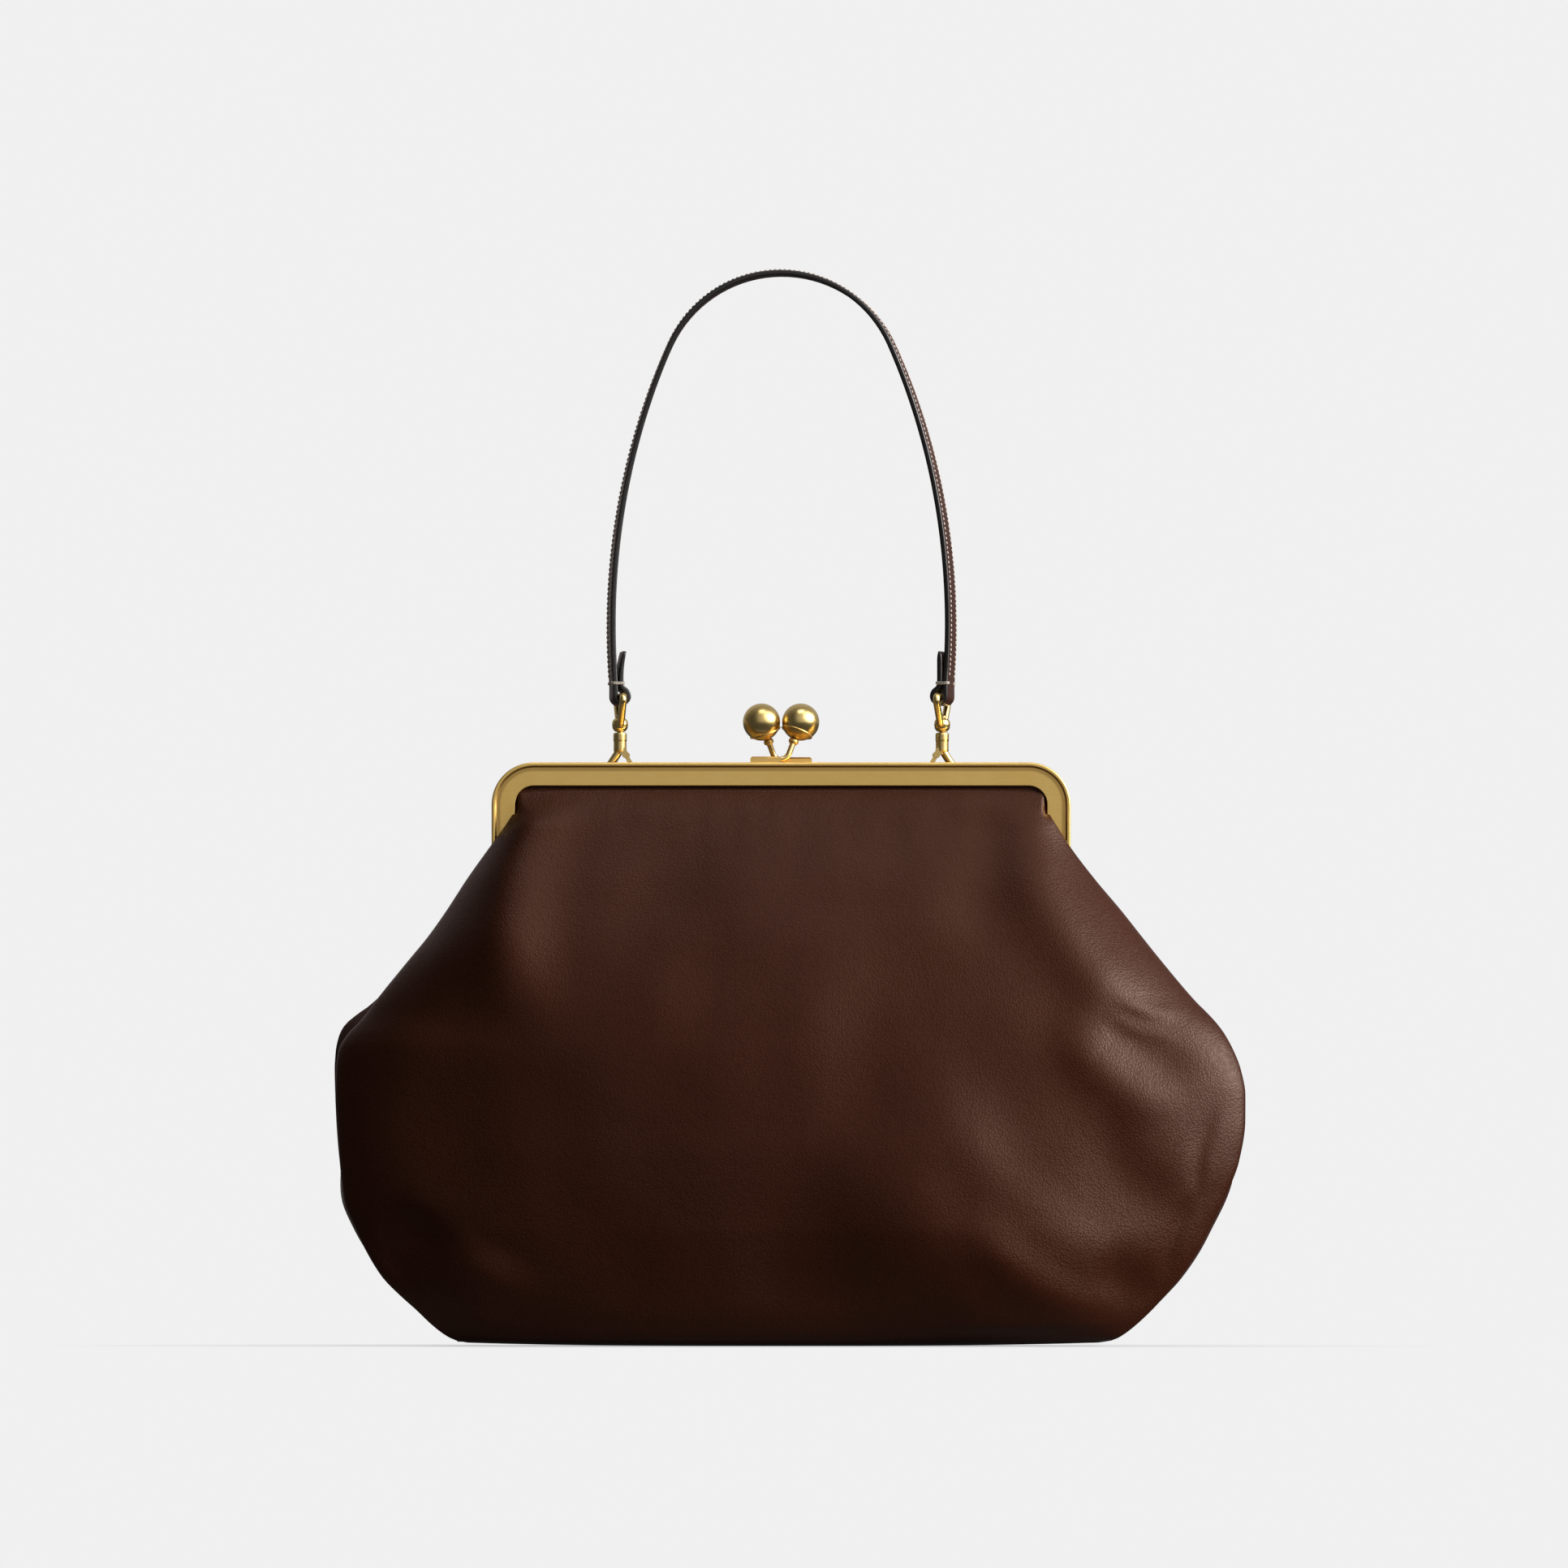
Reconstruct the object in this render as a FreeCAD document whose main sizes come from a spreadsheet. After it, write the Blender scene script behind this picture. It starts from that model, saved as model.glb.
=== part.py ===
"""A kiss lock frame purse: a soft leather body hung in a hinged brass frame, with a strap on swivel hooks.

+X runs along the frame, -Y is the front and +Z is up. The origin is on the table under the middle of the base.
"""

import FreeCAD
import Part
import Sketcher
import math
import os

from FreeCAD import Vector

# Driving dimensions, in millimetres, counts and degrees
SIZES = {
    # frame
    "frame_width": 220.0,
    "frame_rise": 44.5,
    "frame_corner": 16.0,
    "face_height": 9.0,
    "mating_face_height": 7.5,
    "frame_half_depth": 6.0,
    "frame_sheet": 0.9,
    "frame_gap": 0.3,
    "rim_width": 1.3,
    "rim_rise": 0.6,
    # hinge
    "hinge_height": 177.0,
    "leg_end_rise": 5.2,
    "lug_radius": 4.5,
    "lug_overlap": 4.0,
    "lug_gap": 0.25,
    "rivet_radius": 1.2,
    "rivet_head_radius": 2.6,
    "rivet_head_height": 1.1,
    "running_clearance": 0.05,
    "seat_gap": 0.1,
    # clasp
    "bar_length": 11.4,
    "bar_width": 2.6,
    "bar_height": 2.3,
    "bar_chamfer": 0.6,
    "bar_end_gap": 0.3,
    "stalk_radius": 1.1,
    "stalk_lift": 1.35,
    "stalk_bend": 3.2,
    "stalk_angle": 70.4,
    "stalk_reach": 13.2,
    "collar_radius": 1.9,
    "collar_height": 2.0,
    "ball_radius": 7.1,
    "ball_wall": 1.2,
    "cup_height": 3.2,
    "cup_wall": 0.35,
    # strap loops on the rear frame
    "hook_spacing": 122.8,
    "plate_width": 8.0,
    "plate_thickness": 1.0,
    "plate_top_inset": 2.5,
    "loop_wire_radius": 1.2,
    "loop_radius": 4.0,
    "loop_reach": 3.2,
    "loop_drop": 5.3,
    "loop_margin": 1.8,
    # swivel hooks
    "claw_wire_radius": 1.55,
    "claw_inside_radius": 3.4,
    "claw_play": 0.3,
    "claw_throat": 7.9,
    "claw_tip_rise": 1.2,
    "barrel_radius": 2.6,
    "barrel_length": 7.5,
    "gate_thickness": 2.4,
    "gate_width": 1.8,
    "gate_pivot_inset": 2.0,
    "gate_pivot_drop": 0.8,
    "gate_pin_radius": 0.5,
    "gate_gap": 0.45,
    "thumb_radius": 1.1,
    "ear_thickness": 0.8,
    "ear_radius": 1.3,
    "gate_side_gap": 0.15,
    "slot_height": 1.6,
    "spring_thickness": 0.3,
    "spring_width": 1.4,
    "spring_length": 1.0,
    # swivel eyes
    "post_radius": 1.1,
    "post_depth": 4.0,
    "post_head_radius": 1.8,
    "post_head_height": 0.9,
    "boss_radius": 3.1,
    "boss_gap": 0.3,
    "eye_wire_radius": 1.35,
    "eye_height": 10.6,
    "eye_bar": 19.0,
    "eye_foot": 5.2,
    "eye_corner": 1.6,
    "left_eye_turn": 9.0,
    "right_eye_turn": -16.0,
    # strap
    "strap_width": 11.0,
    "strap_thickness": 2.0,
    "strap_half_span": 62.5,
    "strap_rise": 187.5,
    "strap_side_rise": 63.5,
    "strap_crown_radius": 46.0,
    "strap_tail": 12.0,
    "strap_tail_bend": 3.0,
    "strap_play": 0.15,
    # body leather and lining
    "body_half_width": 172.8,
    "body_half_depth": 58.0,
    "leather": 1.5,
    "lining": 0.6,
    "ply_gap": 0.2,
    "board_thickness": 2.0,
    "board_inset": 4.0,
    "top_edge_drop": 3.6,
    "tuck_inset": 2.7,
    "tuck_offset": 0.5,
    "leg_cover_gap": 0.6,
    "cord_radius": 0.85,
    "cord_inset": 2.1,
}

# The leather body, as shares of hinge_height, body_half_width and body_half_depth from base to hinge
HEIGHT_SHARES = [0.0095, 0.09, 0.17, 0.31, 0.50, 0.64, 0.72, 0.85, 1.0]
WIDTH_SHARES = [0.735, 0.816, 0.897, 0.972, 1.0, 0.984, 0.932, 0.81, 0.689]
DEPTH_SHARES = [0.88, 0.95, 0.985, 1.0, 0.955, 0.87, 0.79, 0.65, 0.43]
# Where the gusset seams run, as shares of the local half width and half depth
SEAM_X_SHARES = [0.965, 0.975, 0.985, 0.995, 1.0, 1.0, 1.0, 0.995, 0.98]
SEAM_Y_SHARES = [0.80, 0.72, 0.66, 0.60, 0.56, 0.54, 0.52, 0.46, 0.40]
# How far out the middle of each gusset stands, as a share of the local half width: it folds in above its middle
GUSSET_SHARES = [1.0, 1.0, 1.005, 1.01, 0.985, 0.945, 0.92, 0.91, 0.99]
# The panels above the hinge: share of the way up to the frame's face, then how far each level still stands
# out from the channel towards the body's seam, the body's depth at the hinge, and the front of the legs
NECK_RISE_SHARES = [0.01, 0.33, 0.56, 0.70, 0.95]
NECK_WIDTH_SHARES = [0.875, 0.663, 0.30, 0.05, 0.0]
NECK_DEPTH_SHARES = [0.975, 0.66, 0.36, 0.11, 0.015]
NECK_EDGE_SHARES = [1.3, 1.2, 1.06, 0.85, 0.0]
# How far a seam corner moves for each unit that the wall moves in
SEAM_INSET_SHARE = 0.7

STRAP_ARCH_STEPS = 40
STRAP_FOLD_STEPS = 10
STRAP_TAIL_STEPS = 5


class Size:
    """A named size, or a sum of named sizes: its value in millimetres and the expression that gives it."""

    def __init__(self, value, text):
        self.value = value
        self.text = text

    def _join(self, other, sign, value):
        text = other.text if isinstance(other, Size) else repr(float(other))
        return Size(value, f"({self.text} {sign} {text})")

    def __add__(self, other):
        return self._join(other, "+", self.value + number(other))

    def __sub__(self, other):
        return self._join(other, "-", self.value - number(other))

    def __mul__(self, other):
        return self._join(other, "*", self.value * number(other))

    def __truediv__(self, other):
        return self._join(other, "/", self.value / number(other))

    def __neg__(self):
        return self * -1


def number(value):
    """The plain number of a Size or of a number."""
    return value.value if isinstance(value, Size) else float(value)


doc = FreeCAD.newDocument("purse")
sheet = doc.addObject("Spreadsheet::Sheet", "sizes")
for row, (alias, cell_value) in enumerate(SIZES.items(), start=1):
    sheet.set(f"A{row}", alias)
    sheet.set(f"B{row}", str(cell_value))
    sheet.setAlias(f"B{row}", alias)
doc.recompute()


def size(alias):
    """The sheet's cell of that name as a Size."""
    return Size(float(sheet.get(alias)), f"sizes.{alias}")


def mm(alias):
    """The sheet's cell of that name as a plain number."""
    return float(sheet.get(alias))


ZERO = size("frame_width") * 0
OVERRUN = size("frame_sheet")

# Levels and places that several pieces share
frame_half = size("frame_width") / 2
hinge = size("hinge_height")
top = hinge + size("frame_rise")
half_gap = size("frame_gap") / 2
half_centre = half_gap + size("frame_half_depth") / 2
outer_face = half_gap + size("frame_half_depth")
leg_end = hinge + size("leg_end_rise")
plate_face = outer_face + size("plate_thickness")
handle_y = plate_face + size("loop_reach")
loop_top = top - size("loop_drop")
swing_axis = loop_top - size("loop_radius")
claw_centre = loop_top - size("loop_wire_radius") - size("claw_play") + size("claw_inside_radius")
barrel_foot = claw_centre + size("claw_throat")
barrel_top = barrel_foot + size("barrel_length")
boss_centre = barrel_top + size("boss_gap") + size("boss_radius") * 0.9
eye_bar_height = boss_centre + size("eye_height")
strap_side_level = top + size("strap_side_rise")
strap_crown_level = top + size("strap_rise")

bodies = []


def body_named(label):
    body = doc.addObject("PartDesign::Body", label)
    body.Label = label
    bodies.append(body)
    return body


def shape_named(label, shape):
    feature = doc.addObject("Part::Feature", label)
    feature.Label = label
    feature.Shape = shape
    bodies.append(feature)
    return feature


def sketch_on(body, name, role, offset=None):
    """A sketch on one of the body's origin planes, moved along the plane's normal by a Size."""
    sketch = body.newObject("Sketcher::SketchObject", name)
    plane = [f for f in body.Origin.OriginFeatures if f.Role == role][0]
    sketch.AttachmentSupport = [(plane, "")]
    sketch.MapMode = "FlatFace"
    if offset is not None:
        sketch.AttachmentOffset = FreeCAD.Placement(Vector(0, 0, offset.value), FreeCAD.Rotation())
        sketch.setExpression("AttachmentOffset.Base.z", offset.text)
    return sketch


def bind(sketch, kind, *parts):
    """A dimension whose value follows a Size, which is the last argument."""
    dimension = parts[-1]
    index = sketch.addConstraint(Sketcher.Constraint(kind, *parts[:-1], dimension.value))
    sketch.setExpression(f"Constraints[{index}]", dimension.text)


def pin_point(sketch, geometry, vertex, place):
    """Holds a vertex at two Sizes from the sketch's origin."""
    for kind, along in (("DistanceX", place[0]), ("DistanceY", place[1])):
        bind(sketch, kind, -1, 1, geometry, vertex, along)


def polygon(sketch, places):
    """A closed outline of straight edges through places, each a pair of Sizes."""
    points = [Vector(x.value, y.value, 0) for x, y in places]
    count = len(points)
    lines = [
        sketch.addGeometry(Part.LineSegment(points[i], points[(i + 1) % count]), False) for i in range(count)
    ]
    for i, line in enumerate(lines):
        sketch.addConstraint(Sketcher.Constraint("Coincident", line, 2, lines[(i + 1) % count], 1))
        pin_point(sketch, line, 1, places[i])
    return lines


def circle(sketch, centre, radius):
    middle = Vector(centre[0].value, centre[1].value, 0)
    index = sketch.addGeometry(Part.Circle(middle, Vector(0, 0, 1), radius.value), False)
    pin_point(sketch, index, 3, centre)
    bind(sketch, "Radius", index, radius)
    return index


def rectangle(sketch, low, high):
    return polygon(sketch, [low, (high[0], low[1]), high, (low[0], high[1])])


def pad(body, sketch, length, reverse=False, both_ways=False):
    feature = body.newObject("PartDesign::Pad", "Pad")
    feature.Profile = sketch
    feature.Length = length.value
    feature.setExpression("Length", length.text)
    feature.Reversed = reverse
    feature.Midplane = both_ways
    doc.recompute()
    return feature


def pocket(body, sketch, length, both_ways=True):
    feature = body.newObject("PartDesign::Pocket", "Pocket")
    feature.Profile = sketch
    feature.Length = length.value
    feature.setExpression("Length", length.text)
    feature.Midplane = both_ways
    before = body.Shape.Volume
    doc.recompute()
    if not body.Shape.Volume < before:
        raise RuntimeError(f"a pocket in {body.Label} cut nothing")
    return feature


def pipe(body, profile, path):
    feature = body.newObject("PartDesign::AdditivePipe", "Pipe")
    feature.Profile = profile
    feature.Spine = path
    doc.recompute()
    return feature


def revolve(body, sketch, axis="V_Axis"):
    feature = body.newObject("PartDesign::Revolution", "Revolution")
    feature.Profile = sketch
    feature.ReferenceAxis = (sketch, [axis])
    doc.recompute()
    return feature


def rounded_path(sketch, corners, radii, closed=False):
    """Straight runs between corners, joined by tangent arcs where a corner has a radius. Corners are pairs of Sizes."""
    points = [Vector(x.value, y.value, 0) for x, y in corners]
    count = len(points)
    inner = range(count) if closed else range(1, count - 1)
    turns = [i for i in inner if radii[i] is not None]
    cuts = {}
    for i in turns:
        back = (points[i - 1] - points[i]).normalize()
        ahead = (points[(i + 1) % count] - points[i]).normalize()
        half_angle = back.getAngle(ahead) / 2
        setback = radii[i].value / math.tan(half_angle)
        middle = points[i] + (back + ahead).normalize() * (radii[i].value / math.sin(half_angle))
        cuts[i] = (points[i] + back * setback, middle, points[i] + ahead * setback)
    runs = []
    for i in range(count if closed else count - 1):
        following = (i + 1) % count
        begin = cuts[i][2] if i in cuts else points[i]
        end = cuts[following][0] if following in cuts else points[following]
        runs.append(sketch.addGeometry(Part.LineSegment(begin, end), False))
    for i in inner:
        if i not in cuts:
            sketch.addConstraint(Sketcher.Constraint("Coincident", runs[i - 1], 2, runs[i], 1))
            pin_point(sketch, runs[i], 1, corners[i])
    for i in turns:
        begin, middle, end = cuts[i]
        begin_angle = math.atan2(begin.y - middle.y, begin.x - middle.x)
        end_angle = math.atan2(end.y - middle.y, end.x - middle.x)
        turns_left = (begin - middle).cross(end - middle).z > 0
        ring = Part.Circle(middle, Vector(0, 0, 1), radii[i].value)
        span = (begin_angle, end_angle) if turns_left else (end_angle, begin_angle)
        arc = sketch.addGeometry(Part.ArcOfCircle(ring, *span), False)
        first, last = (1, 2) if turns_left else (2, 1)
        sketch.addConstraint(Sketcher.Constraint("Tangent", runs[i - 1], 2, arc, first))
        sketch.addConstraint(Sketcher.Constraint("Tangent", arc, last, runs[i], 1))
        bind(sketch, "Radius", arc, radii[i])
        corner = sketch.addGeometry(Part.Point(points[i]), True)
        pin_point(sketch, corner, 1, corners[i])
        sketch.addConstraint(Sketcher.Constraint("PointOnObject", corner, 1, runs[i - 1]))
        sketch.addConstraint(Sketcher.Constraint("PointOnObject", corner, 1, runs[i]))
    if not closed:
        pin_point(sketch, runs[0], 1, corners[0])
        pin_point(sketch, runs[-1], 2, corners[-1])
    return runs


def frame_path(body, name, inset, foot):
    """The frame's upside-down U, a distance inside its outer edge, from a level on one leg to it on the other."""
    path = sketch_on(body, name, "XZ_Plane")
    side = frame_half - inset
    crown = top - inset
    bend = size("frame_corner") - inset
    corners = [(-side, foot), (-side, crown), (side, crown), (side, foot)]
    rounded_path(path, corners, [None, bend, bend, None])
    return path


# The two frame halves, each a folded channel with a hinge lug at the end of each leg


def frame_channel(label, front):
    body = body_named(label)
    facing = -1 if front else 1
    sheet_metal = size("frame_sheet")
    depth = size("frame_half_depth")

    def place(inward, outward):
        return (inward - frame_half, (half_gap + outward) * facing)

    rim = size("rim_width")
    rise = size("rim_rise")
    outline = [
        place(ZERO, ZERO),
        place(ZERO, depth + rise),
        place(rim, depth + rise),
        place(rim + rise, depth),
        place(size("face_height"), depth),
        place(size("face_height"), depth - sheet_metal),
        place(sheet_metal, depth - sheet_metal),
        place(sheet_metal, sheet_metal),
        place(size("mating_face_height"), sheet_metal),
        place(size("mating_face_height"), ZERO),
    ]
    rim_round = rise * 0.95
    edge_round = sheet_metal * 0.4
    radii = [edge_round, rim_round, rim_round * 0.6, rise * 0.4, edge_round, edge_round, None, None, None, edge_round]
    profile = sketch_on(body, "profile", "XY_Plane", leg_end)
    rounded_path(profile, outline, radii, closed=True)
    path = frame_path(body, "path", ZERO, leg_end)
    doc.recompute()
    pipe(body, profile, path)

    inner_lug = sheet_metal + size("lug_gap")
    lug_top = leg_end + size("lug_overlap")
    lug_start = frame_half - sheet_metal if front else frame_half - inner_lug - sheet_metal
    axis_y = ZERO
    radius = size("lug_radius")
    for side in (-1, 1):
        plane_offset = lug_start * side
        disc = sketch_on(body, "lug_disc", "YZ_Plane", plane_offset)
        circle(disc, (axis_y, hinge), radius)
        pad(body, disc, sheet_metal, reverse=side < 0)
        arm = sketch_on(body, "lug_arm", "YZ_Plane", plane_offset)
        near = half_gap * facing if front else (half_gap + sheet_metal + size("seat_gap")) * facing
        far = outer_face * facing if front else (outer_face - sheet_metal - size("seat_gap")) * facing
        polygon(arm, [(radius * facing, hinge), (axis_y, hinge), (near, lug_top), (far, lug_top)])
        pad(body, arm, sheet_metal, reverse=side < 0)
        if not front:
            bridge = sketch_on(body, "lug_bridge", "YZ_Plane", plane_offset)
            rectangle(bridge, (near, leg_end + OVERRUN), (far, lug_top))
            pad(body, bridge, inner_lug + sheet_metal * 1.5, reverse=side < 0)
    bore_radius = size("rivet_radius") + size("running_clearance") if front else size("rivet_radius")
    bore = sketch_on(body, "rivet_bore", "YZ_Plane")
    circle(bore, (axis_y, hinge), bore_radius)
    pocket(body, bore, size("frame_width") + OVERRUN)


def hinge_rivet(label, side):
    """A domed rivet from outside the leg, through both lugs, to a flat inner head."""
    body = body_named(label)
    stack = size("frame_sheet") * 2 + size("lug_gap")
    head = size("rivet_head_radius")
    shaft = size("rivet_radius")
    gap = size("seat_gap")
    rise = size("rivet_head_height")
    outline = [
        (ZERO, gap + rise),
        (head * 0.55, gap + rise),
        (head, gap + rise * 0.45),
        (head, gap),
        (shaft, gap),
        (shaft, -stack - gap),
        (head * 0.85, -stack - gap),
        (head * 0.85, -stack - gap - rise * 0.6),
        (ZERO, -stack - gap - rise * 0.6),
    ]
    dome = rise * 0.5
    sketch = sketch_on(body, "half_section", "XZ_Plane")
    rounded_path(sketch, outline, [None, dome, dome * 0.6] + [None] * 6, closed=True)
    doc.recompute()
    revolve(body, sketch)
    turn = FreeCAD.Rotation(Vector(0, 1, 0), 90 * side)
    body.Placement = FreeCAD.Placement(Vector(side * frame_half.value, 0, hinge.value), turn)


def channel_cord(label, front):
    """The paper cord that wedges the leather's edge into the channel."""
    body = body_named(label)
    facing = -1 if front else 1
    inset = size("cord_inset")
    foot = leg_end + size("lug_overlap") + size("ply_gap")
    profile = sketch_on(body, "profile", "XY_Plane", foot)
    circle(profile, (inset - frame_half, half_centre * facing), size("cord_radius"))
    path = frame_path(body, "path", inset, foot)
    doc.recompute()
    pipe(body, profile, path)


# The kiss lock: a bar soldered to each half, with a sprung stalk that carries a ball


def clasp_bar(label, front):
    body = body_named(label)
    facing = -1 if front else 1
    near = size("bar_end_gap")
    far = near + size("bar_length")
    half_width = size("bar_width") / 2
    sketch = sketch_on(body, "plan", "XY_Plane", top)
    centre = half_centre * facing
    rectangle(sketch, (near * facing, centre - half_width), (far * facing, centre + half_width))
    base = pad(body, sketch, size("bar_height"))
    upper = [
        f"Edge{i}"
        for i, edge in enumerate(base.Shape.Edges, start=1)
        if edge.BoundBox.ZMin > top.value + size("bar_height").value / 2
    ]
    chamfer = body.newObject("PartDesign::Chamfer", "Chamfer")
    chamfer.Base = (base, upper)
    chamfer.Size = mm("bar_chamfer")
    chamfer.setExpression("Size", "sizes.bar_chamfer")
    doc.recompute()


def knob_placement(front):
    """Puts a knob's own frame at the bar's end: X away from the bar, Z up, leaning in until the ball is at Y 0."""
    rise = mm("stalk_bend") * (1 - math.cos(math.radians(mm("stalk_angle"))))
    rise += mm("stalk_reach") * math.sin(math.radians(mm("stalk_angle")))
    lean = math.degrees(math.asin(half_centre.value / rise))
    turn = FreeCAD.Rotation(Vector(1, 0, 0), -lean)
    facing = -1 if front else 1
    if not front:
        turn = FreeCAD.Rotation(Vector(0, 0, 1), 180).multiply(turn)
    height = top.value + mm("stalk_lift")
    return FreeCAD.Placement(Vector(0, facing * half_centre.value, height), turn)


def knob_axis_placement(front):
    """Puts a frame on the knob's upright stalk, with Z along it and its origin at the ball's centre."""
    angle = math.radians(mm("stalk_angle"))
    bend = mm("stalk_bend")
    reach = mm("stalk_reach")
    centre = Vector(
        bend * math.sin(angle) + reach * math.cos(angle), 0, bend * (1 - math.cos(angle)) + reach * math.sin(angle)
    )
    along = FreeCAD.Rotation(Vector(0, 1, 0), 90 - mm("stalk_angle"))
    return knob_placement(front).multiply(FreeCAD.Placement(centre, along))


def collar_foot():
    """Distance from the ball's centre down to the collar's lower face."""
    return size("ball_radius") + size("collar_height")


def knob_stalk(label, front):
    body = body_named(label)
    radius = size("stalk_radius")
    angle = math.radians(mm("stalk_angle"))
    bend = mm("stalk_bend")
    run = mm("stalk_reach") - collar_foot().value
    profile = sketch_on(body, "profile", "YZ_Plane")
    circle(profile, (ZERO, ZERO), radius)
    path = sketch_on(body, "path", "XZ_Plane")
    centre = Vector(0, bend, 0)
    bend_end = Vector(bend * math.sin(angle), bend * (1 - math.cos(angle)), 0)
    straight_end = bend_end + Vector(math.cos(angle), math.sin(angle), 0) * run
    quarter = math.pi / 2
    ring = Part.Circle(centre, Vector(0, 0, 1), bend)
    path.addGeometry(Part.ArcOfCircle(ring, -quarter, angle - quarter), False)
    path.addGeometry(Part.LineSegment(bend_end, straight_end), False)
    doc.recompute()
    pipe(body, profile, path)
    body.Placement = knob_placement(front)


def knob_turning(label, front, outline, radii):
    """A turned piece on the stalk: its half section is in (radius, height above the ball's centre)."""
    body = body_named(label)
    sketch = sketch_on(body, "half_section", "XZ_Plane")
    rounded_path(sketch, outline, radii, closed=True)
    doc.recompute()
    revolve(body, sketch)
    body.Placement = knob_axis_placement(front)


def knob_collar(label, front):
    radius = size("collar_radius")
    foot = -collar_foot()
    shoulder = foot + size("collar_height") * 0.3
    brow = foot + size("collar_height") * 0.75
    head = foot + size("collar_height")
    outline = [
        (ZERO, foot),
        (radius * 0.75, foot),
        (radius, shoulder),
        (radius, brow),
        (radius * 0.8, head),
        (ZERO, head),
    ]
    roll = size("collar_height") * 0.2
    knob_turning(label, front, outline, [None, roll, roll, roll, roll, None])


def sphere_at(radius):
    return Part.makeSphere(radius)


def knob_ball(label, front):
    """The ball, hollow, above the line where it is crimped to its cup."""
    radius = mm("ball_radius")
    rim = -radius + mm("cup_height")
    shell = sphere_at(radius).cut(sphere_at(radius - mm("ball_wall")))
    keep = Part.makeBox(4 * radius, 4 * radius, 2 * radius, Vector(-2 * radius, -2 * radius, rim))
    shape_named(label, shell.common(keep)).Placement = knob_axis_placement(front)


def knob_cup(label, front):
    """The cup that closes the ball from below: a rolled lip on the crimp line and a floor on the collar."""
    radius = mm("ball_radius")
    rim = -radius + mm("cup_height")
    shell = sphere_at(radius).cut(sphere_at(radius - mm("ball_wall")))
    keep = Part.makeBox(4 * radius, 4 * radius, mm("cup_height"), Vector(-2 * radius, -2 * radius, -radius))
    lip_radius = math.sqrt(radius**2 - rim**2)
    lip = Part.makeTorus(lip_radius - mm("cup_wall") / 4, mm("cup_wall"), Vector(0, 0, rim - mm("cup_wall")))
    shape_named(label, shell.common(keep).fuse(lip)).Placement = knob_axis_placement(front)


# The loops on the back of the rear half that the strap's hooks clip to


def strap_loop(label, side):
    body = body_named(label)
    x = size("hook_spacing") / 2 * side
    wire = size("loop_wire_radius")
    lower = loop_top - size("loop_radius") * 2
    plate = sketch_on(body, "plate", "XZ_Plane", -outer_face)
    half_width = size("plate_width") / 2
    low = (x - half_width, lower - size("loop_margin"))
    high = (x + half_width, top - size("plate_top_inset"))
    rectangle(plate, low, high)
    pad(body, plate, size("plate_thickness"), reverse=True)
    profile = sketch_on(body, "wire", "XZ_Plane", -plate_face)
    circle(profile, (x, loop_top), wire)
    path = sketch_on(body, "loop", "YZ_Plane", x)
    reach = handle_y + size("loop_radius")
    corners = [(plate_face, loop_top), (reach, loop_top), (reach, lower), (plate_face, lower)]
    bend = size("loop_radius") * 0.98
    rounded_path(path, corners, [None, bend, bend, None])
    doc.recompute()
    pipe(body, profile, path)


# The swivel hooks. Each is drawn with the barrel's foot at its own origin and the claw towards +X


def hook_placement(side):
    turn = FreeCAD.Rotation(Vector(0, 0, 1), 0 if side > 0 else 180)
    x = side * mm("hook_spacing") / 2
    return FreeCAD.Placement(Vector(x, handle_y.value, barrel_foot.value), turn)


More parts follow.
